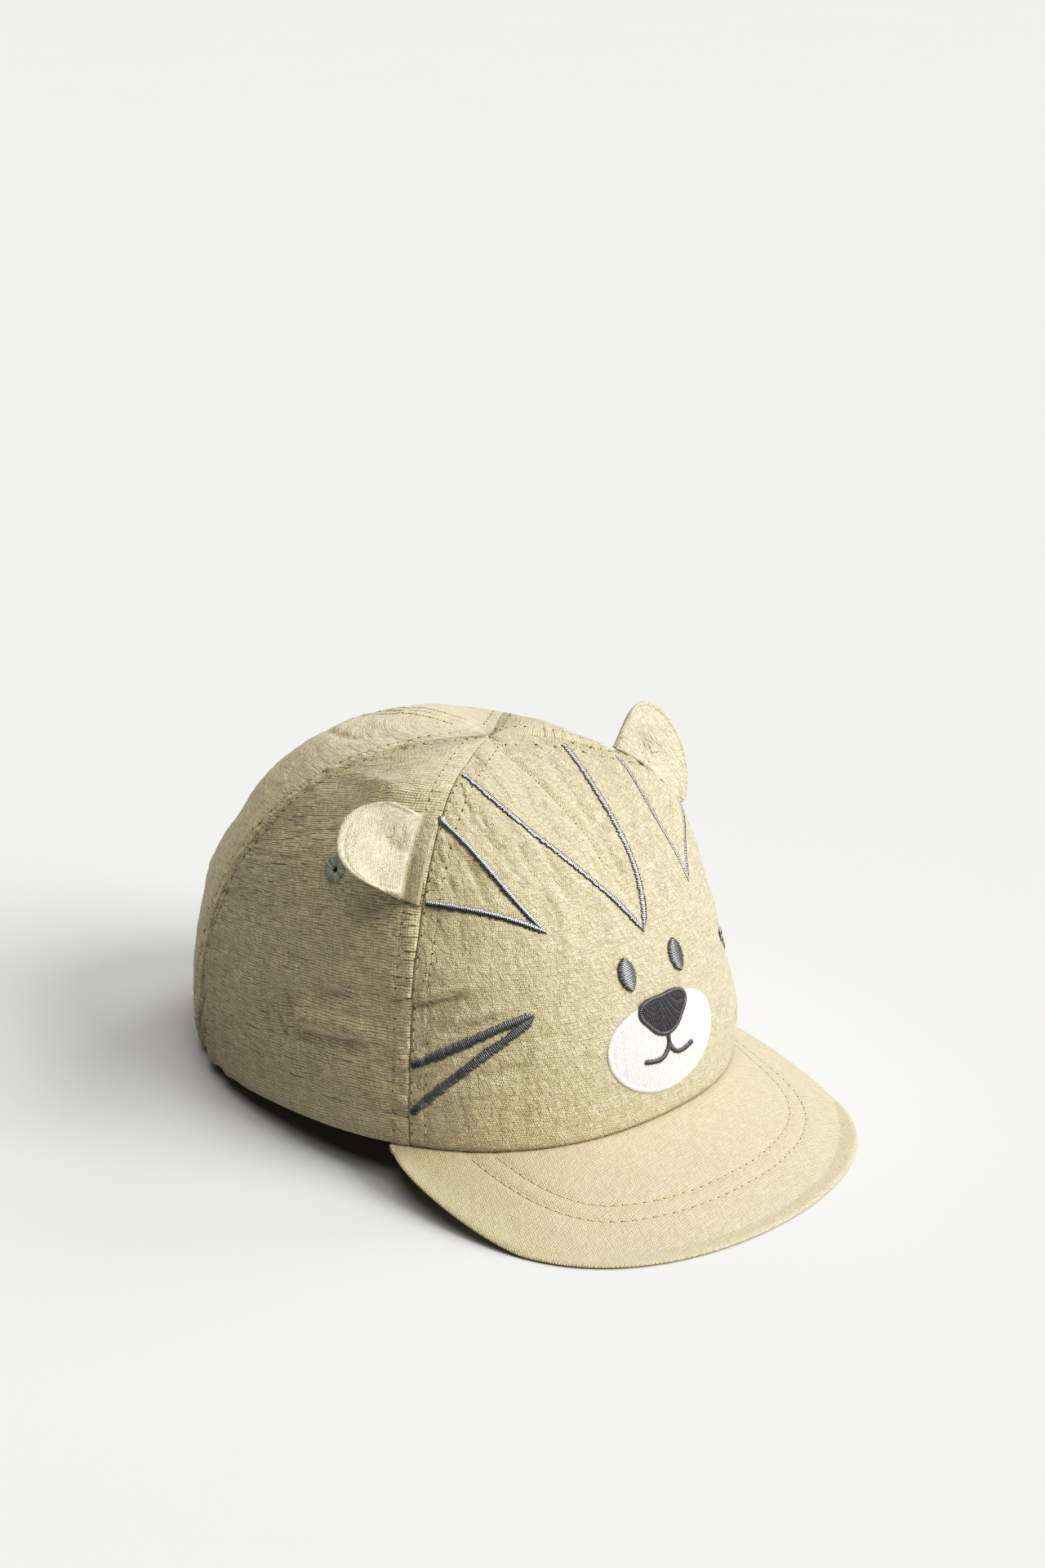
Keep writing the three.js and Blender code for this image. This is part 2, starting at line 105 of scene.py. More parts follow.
# The peak's outline, slope and curl, the soft swell of its cloth, and its two rows of topstitching.
PEAK = Sizes(
    half_width=69.4, corner_forward=40, tip_forward=128, roundness=0.515, corner_tuck=5, corner_drop=2,
    corner_length=9, level_forward=63.6, slope=18.5, side_curl=7.9, under_rim=4, rim_angle=65,
    corner_density=1.7, edge_density=0.9, board=2.6, edge_thickness=1.5, edge_round=1.6, taper=6,
    rows=(14.7, 19.3), row_margin=0.4, row_lift=0.05, groove=0.3, groove_width=0.8,
    swell=0.14, swell_size=11, swell_seed=71, calm_edge=3,
)

# The ears' fold line, cup, pleat and padding, and the strip that is sewn down beside the front seam.
EAR = Sizes(
    seam_margin=0.4, fold_angle=62.5, cup=3.2, pleat=1.6, pleat_at=0.25, pleat_length=0.2, pleat_width=0.29,
    padding=4, pad=2.6, edge_thickness=1.5, edge_round=1.3, side_slope=26, strip_thickness=1.0,
    strip_dip=0.5, strip_dip_width=0.3, calm_root=0.1,
)
# The step under the pleat, the hollow above it and the dents of the padding, in mm and shares of the ear.
EAR_DENTS = Sizes(
    pleat_line=0.46, pleat_slant=0.1, pleat_step=1.2, step_half_width=0.03, step_fade=(0.1, 0.55),
    hollow=1.5, hollow_out=0.33, hollow_along=0.62, hollow_length=0.2, hollow_width=0.15,
    dent=0.35, dents=5, dent_seed=83, tip_fade=0.85,
)
# The seam round the ear's edge, in mm, where its cloth is crinkled, and the painted shade on its strip, less
# on the upper half.
EAR_SEAM = Sizes(depth=0.3, inset=2.0, width=0.5, fade=(0.1, 0.3))
EAR_CLOTH = Sizes(
    change=(0.46, 0.52), pale_share=0.5, strip_crinkle=0.3, pleat_crinkle=0.4,
    pinch=0.8, pinch_out=0.3, pinch_length=0.22, pinch_width=0.17,
)
EARS = {
    LEFT: Sizes(
        side=LEFT, seam_start=0.345, seam_end=0.55, half_width=12.8, skew=-1, reach=21, lean=42,
        side_round=0.8, tip_round=0.85, corner_angle=20, crinkle=0.12,
    ),
    RIGHT: Sizes(
        side=RIGHT, seam_start=0.305, seam_end=0.54, half_width=17.2, skew=3.2, reach=21, lean=24.5,
        side_round=1.0, tip_round=0.7, corner_angle=6, crinkle=0.5,
    ),
}

EYELET = Sizes(around=84.2, up=0.353, outer_radius=3.9, hole_radius=1.3, thread_lift=0.1, thread_overlap=0.1)
EYE = Sizes(around=10.2, up=0.256, half_width=2.55, half_height=4.65, triangle=0)
NOSE = Sizes(around=0, up=0.169, half_width=9.2, half_height=5.8, triangle=0.115)
MUZZLE = Sizes(around=0, up=0.117, half_width=21.2, half_height=13.4, triangle=0)

NOISE_SIDE = 64


def lerp(low, high, share):
    return low + (high - low) * share


def smooth(value, low, high):
    share = np.clip((value - low) / (high - low), 0, 1)
    return share * share * (3 - 2 * share)


def bell(value, width):
    return np.exp(-((value / width) ** 2))


def signed_power(value, power):
    return np.sign(value) * np.maximum(np.abs(value), 1e-9) ** power


def unit(vectors):
    return vectors / np.linalg.norm(vectors, axis=-1, keepdims=True)


def cloth_noise(x, y, seed):
    """Smooth noise from -1 to 1 with one bump to each unit square."""
    lattice = np.random.default_rng(seed).uniform(-1, 1, (NOISE_SIDE, NOISE_SIDE))
    column, row = np.floor(x).astype(int), np.floor(y).astype(int)
    s, t = smooth(x - column, 0, 1), smooth(y - row, 0, 1)

    def corner(right, above):
        return lattice[(column + right) % NOISE_SIDE, (row + above) % NOISE_SIDE]

    return lerp(lerp(corner(0, 0), corner(1, 0), s), lerp(corner(0, 1), corner(1, 1), s), t)


# The crown's surface


def rim_plan(angle):
    front = np.cos(angle) > 0
    power = np.where(front, CROWN.front_squareness, CROWN.back_squareness)
    reach = np.where(front, CROWN.front_reach, CROWN.back_reach)
    lobes = 1 + CROWN.three_lobe * np.cos(3 * angle) + CROWN.four_lobe * np.cos(4 * angle)
    across = CROWN.half_width * signed_power(np.sin(angle), power) * lobes
    return across, reach * signed_power(np.cos(angle), power) * lobes


def meridian(name, angle):
    row = MERIDIANS[name]
    front = np.maximum(np.cos(angle), 0) ** 2
    back = np.maximum(-np.cos(angle), 0) ** 2
    return row.front * front + row.side * (1 - front - back) + row.back * back


def smooth_crown(around, up):
    """Points of the plain crown in its own frame: degrees round from the front, up from 0 at the rim to 1."""
    around, up = np.broadcast_arrays(np.asarray(around, float), np.asarray(up, float))
    angle, down = np.radians(around), 1 - up
    across, forward = rim_plan(angle)
    low, high = 3 * up * down ** 2, 3 * up ** 2 * down
    spread = down ** 3 + low * (1 + meridian("flare", angle)) + high * meridian("shoulder", angle)
    climb = low * meridian("rise", angle) + high * meridian("shoulder_height", angle) + up ** 3
    return np.stack(
        [across * spread, lerp(CROWN.apex_forward, forward, spread), CROWN.height * climb], axis=-1
    )


def crown_frame(around, up):
    """Outward normal, and the tangents in mm per degree round and mm per unit of height."""
    turn, step = 0.1, 0.002
    low = np.minimum(up, 1 - 2 * step)
    round_step = smooth_crown(around + turn, low) - smooth_crown(around - turn, low)
    rise_step = smooth_crown(around, low + step) - smooth_crown(around, low - step)
    return unit(np.cross(rise_step, round_step)), round_step / (2 * turn), rise_step / (2 * step)


def length(vectors):
    return np.linalg.norm(vectors, axis=-1)


def front_angle(across, up):
    """Degrees round of the point on the front that lies that far across, by bisection."""
    across, up = np.broadcast_arrays(np.asarray(across, float), np.asarray(up, float))
    low, high = np.full(across.shape, -90.0), np.full(across.shape, 90.0)
    for _ in range(30):
        middle = (low + high) / 2
        short = smooth_crown(middle, up)[..., 0] < across
        low, high = np.where(short, middle, low), np.where(short, high, middle)
    return (low + high) / 2


def fold_relief(around, up):
    relief = 0
    for fold_around, fold_up, long, wide, turn, depth in FOLDS.values():
        _, per_degree, per_up = crown_frame(fold_around, fold_up)
        sideways = (around - fold_around) * length(per_degree)
        upward = (up - fold_up) * length(per_up)
        turn = math.radians(turn)
        along = upward * math.cos(turn) + sideways * math.sin(turn)
        across = sideways * math.cos(turn) - upward * math.sin(turn)
        relief = relief + depth * bell(along, long) * bell(across, wide)
    settled = smooth(up, 0, SETTLE.rim_end) * (1 - smooth(up, SETTLE.apex_start, SETTLE.apex_end))
    return relief * settled


def gather_relief(around, up):
    strength = smooth(np.abs(around), GATHERS.start, GATHERS.full_at) * (1 - smooth(up, 0, GATHERS.fade_by))
    wander = GATHERS.wander * np.sin(np.radians(GATHERS.waves * around + GATHERS.phase))
    ripple = np.cos(2 * np.pi * (180 - np.abs(around)) / GATHERS.pitch + wander)
    return strength * (GATHERS.depth * ripple - GATHERS.hem_pull * (1 - up / GATHERS.fade_by) ** 2)


def dart_relief(around, up):
    offset = np.where(np.abs(around) < 90, smooth_crown(around, up)[..., 0] - DART.offset, CROWN.half_width)
    return -DART.depth * smooth(up, DART.start, DART.start + DART.fade_length) * bell(offset, DART.half_width)


def crown_cloth(around, up, lift=0):
    """Points of the crown's cloth with its folds, raised by lift in mm."""
    around, up = np.broadcast_arrays(np.asarray(around, float), np.asarray(up, float))
    relief = fold_relief(around, up) + gather_relief(around, up) + dart_relief(around, up) + lift
    normal = crown_frame(around, up)[0]
    points = smooth_crown(around, up) + normal * np.asarray(relief)[..., None]
    points[..., 2] = np.where(up == 0, 0, points[..., 2])
    return points


def lean_back(vectors):
    """Directions or points of the crown's frame, turned to face -Y and leant back on the hem."""
    lean = math.radians(LEAN)
    across, forward, height = np.moveaxis(vectors, -1, 0)
    level = forward * math.cos(lean) - height * math.sin(lean)
    return np.stack([across, -level, forward * math.sin(lean) + height * math.cos(lean)], axis=-1)


def place(points):
    """Points of the crown's frame in mm, put in the object's frame in metres, none under the floor."""
    placed = lean_back(points) + np.array([0, ORIGIN_FORWARD, HEM_HEIGHT])
    placed[..., 2] = np.maximum(placed[..., 2], 0)
    return placed * MM


def seam_angle(seam, up):
    return lerp(seam.at_apex, seam.at_rim, (1 - up) ** seam.bend)


# Meshes


def new_object(name, mesh):
    made = bpy.data.objects.new(name, mesh)
    bpy.context.scene.collection.objects.link(made)
    return made


def grid_quads(rows, columns):
    row, column = np.meshgrid(np.arange(rows - 1), np.arange(columns - 1), indexing="ij")
    low = (row * columns + column).ravel()
    return np.stack([low, low + 1, low + columns + 1, low + columns], axis=1)


def rim_quads(quads, inner):
    """Quads that join every open edge of a grid to the same edge of the grid stored inner places later."""
    starts, ends = quads.ravel(), np.roll(quads, -1, axis=1).ravel()
    open_edge = ~np.isin(starts * inner + ends, ends * inner + starts)
    starts, ends = starts[open_edge], ends[open_edge]
    return np.stack([ends, starts, starts + inner, ends + inner], axis=1)


def shell_mesh(name, outer, inner, position, hole=None, marks=()):
    """A closed body between two grids; position, in mm on the cloth, and marks are kept as attributes."""
    rows, columns = outer.shape[:2]
    count = rows * columns
    points = np.concatenate([outer.reshape(-1, 3), inner.reshape(-1, 3)])
    sheet = grid_quads(rows, columns)
    if hole is not None:
        sheet = sheet[~hole.ravel()[sheet].all(axis=1)]
    quads = np.concatenate([sheet, sheet[:, ::-1] + count, rim_quads(sheet, count)])
    corner = points[quads]
    fan = np.cross(corner[:, 2] - corner[:, 0], corner[:, 3] - corner[:, 1])
    if np.sum(fan * corner.mean(axis=1)) < 0:
        quads = quads[:, ::-1]
    used, quads = np.unique(quads, return_inverse=True)
    mesh = bpy.data.meshes.new(name)
    mesh.from_pydata(points[used].tolist(), [], quads.reshape(-1, 4).tolist())
    mesh.shade_smooth()
    flat = np.zeros((len(points), 3))
    flat[:, :2] = np.concatenate([position.reshape(-1, 2)] * 2)
    store_vectors(mesh, "cloth_mm", flat[used])
    for label, values in dict(marks).items():
        store_numbers(mesh, label, np.tile(values.ravel(), 2)[used])
    return mesh


def store_vectors(mesh, name, values):
    mesh.attributes.new(name, "FLOAT_VECTOR", "POINT").data.foreach_set("vector", np.ravel(values))


def store_numbers(mesh, name, values):
    mesh.attributes.new(name, "FLOAT", "POINT").data.foreach_set("value", np.ravel(values))


def finish_piece(made, material, slot, *nodes):
    """Dresses a piece, lets it ride on the cap's one body and hides the nodes it stands for."""
    if material is not None:
        made.data.materials.clear()
        made.data.materials.append(material)
    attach(made, BODY)
    if nodes:
        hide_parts(*nodes)
    return made


# Panels of the crown


def panel_spec(left, right, seed, columns=120, rows=160):
    """A panel between two seams, each with its side, and the grid that it is built on."""
    return Sizes(left=left, right=right, seed=seed, columns=columns, rows=rows)


PANELS = {
    "front_panel": panel_spec((FRONT_SEAM, LEFT), (FRONT_SEAM, RIGHT), seed=11, columns=216, rows=176),
    "side_panel_left": panel_spec((SIDE_SEAM, LEFT), (FRONT_SEAM, LEFT), seed=23),
    "side_panel_right": panel_spec((FRONT_SEAM, RIGHT), (SIDE_SEAM, RIGHT), seed=37),
    "back_panel_left": panel_spec((BACK_SEAM, LEFT), (SIDE_SEAM, LEFT), seed=41),
    "back_panel_right": panel_spec((SIDE_SEAM, RIGHT), (BACK_SEAM, RIGHT), seed=53),
}
SEAM = Sizes(
    roll=0.15, roll_width=0.4, ply=0.08, ply_rise=(0.3, 1.7), ply_fade=0.9, groove=0.22, groove_width=0.5,
    groove_beat=0.3, pucker=0.62, pucker_pitch=3.4, pucker_length=12, pucker_at=0.6, pucker_reach=2.4,
    pucker_seed=60, crowding=0.35, top_fade=(0.42, 0.72), top_calm=0.88,
)
HEM = Sizes(
    roll=0.7, roll_width=0.9, casing=11.5, casing_from=112, casing_full=138, casing_row=(136, 179),
    groove=0.45, groove_width=0.8,
)
# Each kind of panel's cloth: how crinkled it is, the share of its creases' depth that is left low down, and
# the creases as cell across and along, height of the swells and depth of the valleys, in mm.
PANEL_CLOTH = {
    "front_panel": Sizes(material="crinkled crown cloth", crinkle=0.4, low_share=0.35, creases=(
        (5.2, 19, 0.36, 0.45), (2.3, 5.0, 0.24, 0.22), (17, 17, 0.5, 0),
    )),
    "side_panel": Sizes(material="ribbed crown cloth", crinkle=1.1, low_share=1, creases=(
        (19, 5.5, 0.5, 0.34), (5.2, 2.3, 0.3, 0.26), (20, 15, 0.55, 0),
    )),
    "back_panel": Sizes(material="smooth crown cloth", crinkle=0.4, low_share=1, creases=(
        (13, 5.5, 0.2, 0.2), (3.8, 2.4, 0.13, 0.12), (26, 20, 0.3, 0),
    )),
}
# How far creases wander off their grid, in cells, the size of the wander's own cells in mm, how narrow the
# valleys are, where the low share ends, and the share of all relief that the lining shows.
CREASE = Sizes(wander=0.8, wander_size=23, valley_power=7, low=(0.26, 0.42), inner_share=0.5)
# Where the creases fade: at the rim and apex, near the top of a side panel, and under the face.
CALM = Sizes(rim=0.04, apex=(0.8, 0.97), side=(0.38, 0.62), side_share=0.6)
FACE_CALM = Sizes(up=0.16, half_height=0.15, margin=3, share=0.8)
# How crinkled the cloth is beside a seam, where on the way to its topstitching, and its reach in mm.
SEAM_CRINKLE = Sizes(amount=0.55, at=0.55, reach=2.4)
# How far the embroidery flattens the cloth beside it, and the share of a wrinkle that it leaves.
STRIPE_HOLD = Sizes(share=0.85, reach=2.6, wrinkle_left=0.25, points=36)
# Single wrinkles: degrees round and height up at the start and at the end, then width and depth in mm.
WRINKLES = {
    "crescent_front": (-94.3, 0.146, -89.8, 0.094, 1.5, -1.7),
    "crescent_middle": (-97.7, 0.134, -93.4, 0.078, 1.4, -1.5),
    "crescent_back": (-101.3, 0.122, -97.0, 0.068, 1.4, -1.2),
    "side_fold": (-91.5, 0.112, -68.0, 0.128, 2.0, 1.3),
    "side_hollow": (-90.5, 0.094, -71.0, 0.106, 1.5, -1.5),
    "side_crease": (-86.0, 0.148, -66.0, 0.176, 1.6, -0.9),
    "ear_ridge": (-102.0, 0.6, -70.0, 0.585, 3.4, 0.7),
    "ear_hollow": (-106.0, 0.555, -88.0, 0.555, 3.4, -0.4),
    "seam_fold": (-60.0, 0.184, -46.0, 0.232, 1.5, 1.3),
    "seam_fold_shade": (-60.0, 0.172, -48.5, 0.214, 1.0, -1.6),
    "whisker_fold": (-53.0, 0.162, -40.0, 0.208, 1.3, 0.9),
    "whisker_fold_shade": (-52.5, 0.15, -41.5, 0.188, 1.0, -1.5),
    "jaw_fold_shade": (-53.0, 0.083, -37.0, 0.116, 1.8, -1.2),
    "cheek_fold_shade": (-47.0, 0.126, -36.5, 0.16, 1.6, -1.0),
    "brow_crease_1": (-46.0, 0.63, -36.5, 0.49, 1.3, -0.5),
    "brow_crease_2": (-37.8, 0.66, -30.5, 0.5, 1.3, -0.5),
    "brow_crease_3": (-26.8, 0.63, -21.5, 0.45, 1.4, -0.55),
    "brow_crease_4": (-47.6, 0.47, -42.7, 0.38, 1.3, -0.5),
    "dart_end": (-0.9, 0.5, 1.4, 0.42, 1.1, -0.7),
    "dart_left": (-6.0, 0.54, -7.5, 0.45, 1.3, -0.45),
    "dart_right": (6.0, 0.62, 4.0, 0.46, 1.3, -0.45),
    "side_fold_right": (74.0, 0.16, 98.0, 0.11, 2.4, 0.8),
    "side_hollow_right": (80.0, 0.11, 104.0, 0.07, 2.2, -0.8),
    "back_fold_left": (-146.0, 0.3, -170.0, 0.22, 2.6, 0.9),
    "back_fold_right": (142.0, 0.24, 168.0, 0.3, 2.6, 0.9),
    "crown_fold_left": (-130.0, 0.74, -165.0, 0.68, 1.8, -0.7),
}
# How far past its ends, and how far within them, a wrinkle fades, as shares of its length.
WRINKLE_FADE = Sizes(past=0.15, within=0.25)


def panel_kind(name):
    return name.replace("_left", "").replace("_right", "")


def panel_angles(spec, up):
    (left, left_side), (right, right_side) = spec.left, spec.right
    return left_side * seam_angle(left, up), right_side * seam_angle(right, up)


def edge_crowded(count):
    """Shares from 0 to 1 that lie closer together at both ends."""
    share = np.linspace(0, 1, count)
    return share - SEAM.crowding * np.sin(2 * np.pi * share) / (2 * np.pi)


def seam_relief(distance, row, along, seed):
    """Height beside a seam: its rolled edge, the double cloth under the topstitching, dimples and puckers."""
    pitch = bpy.context.scene.cap_thread.topstitch_pitch / MM
    roll = -SEAM.roll * bell(distance, SEAM.roll_width)
    ply = SEAM.ply * smooth(distance, *SEAM.ply_rise) * (1 - smooth(distance, row, row + SEAM.ply_fade))
    beat = 1 + SEAM.groove_beat * np.cos(2 * np.pi * along / pitch)
    dimple = -SEAM.groove * bell(distance - row, SEAM.groove_width) * beat
    pucker = SEAM.pucker * cloth_noise(along / SEAM.pucker_pitch, distance / SEAM.pucker_length, seed)
    return roll + ply + dimple + pucker * bell(distance - SEAM.pucker_at * row, SEAM.pucker_reach)


def crease_relief(kind, across, along, seed):
    """Creases of the cloth: soft swells, and narrow valleys where the swells meet."""
    wander = CREASE.wander * cloth_noise(across / CREASE.wander_size, along / CREASE.wander_size, seed + 5)
    relief = 0
    for step, (wide, long, swell, depth) in enumerate(PANEL_CLOTH[kind].creases):
        x, y = across / wide + wander, along / long + wander
        valley = (1 - np.abs(cloth_noise(x, y, seed + 10 + step))) ** CREASE.valley_power
        relief = relief + swell * cloth_noise(x, y, seed + step) - depth * valley
    return relief


def wrinkle_relief(around, up):
    """The single wrinkles, each fading out at its ends."""
    past, within = WRINKLE_FADE.past, WRINKLE_FADE.within
    relief = 0
    for start_around, start_up, end_around, end_up, wide, depth in WRINKLES.values():
        _, per_degree, per_up = crown_frame(start_around, start_up)
        scale = np.array([length(per_degree), length(per_up)])
        way = np.array([end_around - start_around, end_up - start_up]) * scale
        long = length(way)
        x, y = (around - start_around) * scale[0], (up - start_up) * scale[1]
        along = (x * way[0] + y * way[1]) / long
        across = (y * way[0] - x * way[1]) / long
        fade_in = smooth(along, -past * long, within * long)
        fade_out = 1 - smooth(along, (1 - within) * long, (1 + past) * long)
        relief = relief + depth * fade_in * fade_out * bell(across, wide)
    return relief


def hem_relief(around, climb):
    """The rounded lower edge, and the stitched channel that holds the elastic at the back."""
    casing = smooth(np.abs(around), HEM.casing_from, HEM.casing_full)
    channel = HEM.groove * casing * bell(climb - HEM.casing, HEM.groove_width)
    return -HEM.roll * bell(climb, HEM.roll_width) - channel


def open_eyelet(around, up):
    """Moves the grid's points out of the eyelet's hole onto its rim, and says which they were."""
    side = np.sign(around)
    _, per_degree, per_up = crown_frame(EYELET.around, EYELET.up)
    wide, high = length(per_degree), length(per_up)
    x, y = (around - side * EYELET.around) * wide, (up - EYELET.up) * high
    reach = np.hypot(x, y)
    hole = reach < EYELET.hole_radius
    grow = np.where(hole, EYELET.hole_radius / np.maximum(reach, 0.01), 1)
    return side * EYELET.around + x * grow / wide, EYELET.up + y * grow / high, hole


def beside_stripes(plain):
    """Share of the creases left at each point: the stiff embroidery of the stripes holds the cloth flat."""
    nearest = np.full(plain.shape[:-1], np.inf)
    for stripe in STRIPES.values():
        for arm in stripe.arms:
            across, up = smooth_arm(arm, STRIPE_HOLD.points)
            path = smooth_crown(front_angle(across, up), up)
            nearest = np.minimum(nearest, length(plain[..., None, :] - path).min(axis=-1))
    return 1 - STRIPE_HOLD.share * bell(nearest, STRIPE_HOLD.reach)


def under_face(centred, up):
    """Share of the cloth's creases that the face's embroidery takes away."""
    aside = (centred / (MUZZLE.half_width + FACE_CALM.margin)) ** 2
    above = (up - FACE_CALM.up) / FACE_CALM.half_height
    return FACE_CALM.share * np.exp(-(aside + above ** 2) ** 2)


@cache
def built_panel(name):
    """A panel's outer and inner grids, in the crown's frame, and each point's place on the cloth in mm."""
    spec, kind = PANELS[name], panel_kind(name)
    cloth = PANEL_CLOTH[kind]
    up = PANEL_TOP * np.linspace(0, 1, spec.rows)[:, None]
    left, right = panel_angles(spec, up)
    half_gap = SEAM_GAP / 2 / length(crown_frame(left, up)[1])
    around = lerp(left + half_gap, right - half_gap, edge_crowded(spec.columns)[None, :])
    up = np.broadcast_to(up, around.shape)
    hole = None
    if kind == "side_panel":
        around, up, hole = open_eyelet(around, up)
    plain = smooth_crown(around, up)
    from_left = np.cumsum(length(np.diff(plain, axis=1, prepend=plain[:, :1])), axis=1)
    climb = np.cumsum(length(np.diff(plain, axis=0, prepend=plain[:1])), axis=0)
    width = from_left[:, -1:]
    centred = from_left - width / 2
    # Seams lie closer than their topstitching near the apex, so the rows draw in there.
    sides = (
        (from_left, np.minimum(spec.left[0].row, width / 2)),
        (width - from_left, np.minimum(spec.right[0].row, width / 2)),
    )
    relief = sum(
        seam_relief(distance, row, climb, spec.seed + SEAM.pucker_seed + step)
        for step, (distance, row) in enumerate(sides))
    relief = relief * (1 - SEAM.top_calm * smooth(up, *SEAM.top_fade))
    calm = smooth(up, 0, CALM.rim) * (1 - smooth(up, *CALM.apex))
    wrinkles = wrinkle_relief(around, up)
    if kind == "side_panel":
        calm = calm * (1 - CALM.side_share * smooth(up, *CALM.side))
    if kind == "front_panel":
        held = beside_stripes(plain)
        calm = calm * (1 - under_face(centred, up)) * held
        wrinkles = wrinkles * lerp(STRIPE_HOLD.wrinkle_left, 1, held)
    creases = calm * crease_relief(kind, centred, climb, spec.seed)
    creases = creases * lerp(cloth.low_share, 1, smooth(up, *CREASE.low))
    relief = relief + creases + wrinkles + hem_relief(around, climb)
    beside = sum(bell(distance - SEAM_CRINKLE.at * row, SEAM_CRINKLE.reach) for distance, row in sides)
    return Sizes(
        spec=spec, up=up, hole=hole, place_mm=np.stack([centred, climb], axis=-1),
        outer=crown_cloth(around, up, relief),
        inner=crown_cloth(around, up, CREASE.inner_share * relief - CLOTH),
        crinkle=calm * (cloth.crinkle + SEAM_CRINKLE.amount * beside))


def on_panel(name, around, up, lift=0.0):
    """Points on a panel's finished outer face, raised by lift mm, and the outward normals there."""
    panel = built_panel(name)
    around, up, lift = np.broadcast_arrays(np.asarray(around, float), np.asarray(up, float), lift)
    rows, columns = panel.up.shape
    left, right = panel_angles(panel.spec, up)
    share = np.clip((around - left) / (right - left), 0, 1)
    column = np.interp(share, edge_crowded(columns), np.arange(columns))
    row = np.clip(up / PANEL_TOP, 0, 1) * (rows - 1)
    low_row = np.minimum(row.astype(int), rows - 2)
    low_column = np.minimum(column.astype(int), columns - 2)
    s, t = (column - low_column)[..., None], (row - low_row)[..., None]
    grid = panel.outer
    below = lerp(grid[low_row, low_column], grid[low_row, low_column + 1], s)
    above = lerp(grid[low_row + 1, low_column], grid[low_row + 1, low_column + 1], s)
    normal = crown_frame(around, up)[0]
    return lerp(below, above, t) + normal * lift[..., None], normal


# Node trees


class Graph:
    """A node tree with short calls that add nodes and join them."""

    def __init__(self, tree):
        self.tree = tree

    def feed(self, socket, value):
        if isinstance(value, bpy.types.NodeSocket):
            self.tree.links.new(value, socket)
        else:
            socket.default_value = value

    def add(self, kind, values=(), **settings):
        node = self.tree.nodes.new(kind)
        for key, value in settings.items():
            setattr(node, key, value)
        for key, value in dict(values).items():
            self.feed(node.inputs[key], value)
        return node

    def math(self, operation, *values):
        return self.add("ShaderNodeMath", enumerate(values), operation=operation).outputs[0]

    def product(self, value, factor):
        return self.math("MULTIPLY", value, factor)

    def vector(self, operation, *values):
        return self.add("ShaderNodeVectorMath", enumerate(values), operation=operation).outputs[0]

    def scaled(self, vector, factor):
        values = {"Vector": vector, "Scale": factor}
        return self.add("ShaderNodeVectorMath", values, operation="SCALE").outputs[0]

    def combined(self, x, y, z=0.0):
        return self.add("ShaderNodeCombineXYZ", {"X": x, "Y": y, "Z": z}).outputs[0]

    def apart(self, vector):
        return self.add("ShaderNodeSeparateXYZ", {"Vector": vector}).outputs

    def attribute(self, name, output):
        return self.add("ShaderNodeAttribute", attribute_name=name).outputs[output]

    def noise(self, vector, scale, detail, **more):
        """Outputs of a noise texture: one number first, and three in Color."""
        values = {"Vector": vector, "Scale": scale, "Detail": detail, **more}
        return self.add("ShaderNodeTexNoise", values).outputs

    def drifted(self, vector, by, scale, detail, reach):
        """A vector moved aside by noise of its place."""
        centred = self.vector("SUBTRACT", self.noise(by, scale, detail)["Color"], (0.5, 0.5, 0.5))
        return self.vector("ADD", vector, self.scaled(centred, reach))

    def mixed(self, factor, low, high):
        node = self.add("ShaderNodeMix", {"Factor": factor}, data_type="RGBA")
        self.feed(node.inputs[6], low)
        self.feed(node.inputs[7], high)
        return node.outputs[2]

    def blended(self, factor, low, high):
        return self.add("ShaderNodeMix", {"Factor": factor, "A": low, "B": high}).outputs[0]

    def remapped(self, value, low, high, to_low=0.0, to_high=1.0, smooth_ends=False):
        return self.add(
            "ShaderNodeMapRange",
            {"Value": value, "From Min": low, "From Max": high, "To Min": to_low, "To Max": to_high},
            interpolation_type="SMOOTHSTEP" if smooth_ends else "LINEAR",
        ).outputs[0]

    def bumped(self, height, distance, strength=1.0, **more):
        values = {"Height": height, "Distance": distance, "Strength": strength, **more}
        return self.add("ShaderNodeBump", values).outputs[0]

    def grouped(self, name, build, values):
        tree = cached_group(name, build)
        return self.add("ShaderNodeGroup", values, node_tree=tree).outputs


SOCKETS = {int: "NodeSocketInt", float: "NodeSocketFloat"}


def new_group(name, kind, inputs, outputs):
    """A node group with named sockets: inputs by default number or kind, outputs by kind."""
    tree = bpy.data.node_groups.new(name, kind)
    for label, default in inputs.items():
        number = type(default) in SOCKETS
        socket_type = SOCKETS[type(default)] if number else default
        socket = tree.interface.new_socket(label, in_out="INPUT", socket_type=socket_type)
        if number:
            socket.default_value = default
    for label, socket_type in outputs.items():
        tree.interface.new_socket(label, in_out="OUTPUT", socket_type=socket_type)
    graph = Graph(tree)
    return graph, graph.add("NodeGroupInput").outputs, graph.add("NodeGroupOutput").inputs


def cached_group(name, build):
    return bpy.data.node_groups.get(name) or build(name)


# How closely the noise lies by which threads wander, jitter and fuzz, how far it is drawn out along a thread,
# and how crossings, slubs, fuzz, the painted shade of the gaps and tones are scaled from it.
WEAVE = Sizes(
    wander_scale=0.16, jitter_scale=0.8, fuzz_scale=1.3, streak=0.16, fleck=(0.55, 1.45), slub_share=0.3,
    fuzz_share=0.4, uneven=(0.33, 0.67), gap=(0.6, 0.06), tone=(0.75, 1.25))
# How steeply the noise of the fine creases rises to a swell, and how wide a valley's painted shade is.
FINE_CREASE = Sizes(swell=0.14, valley=0.035, detail=1.5, distortion=0.4)


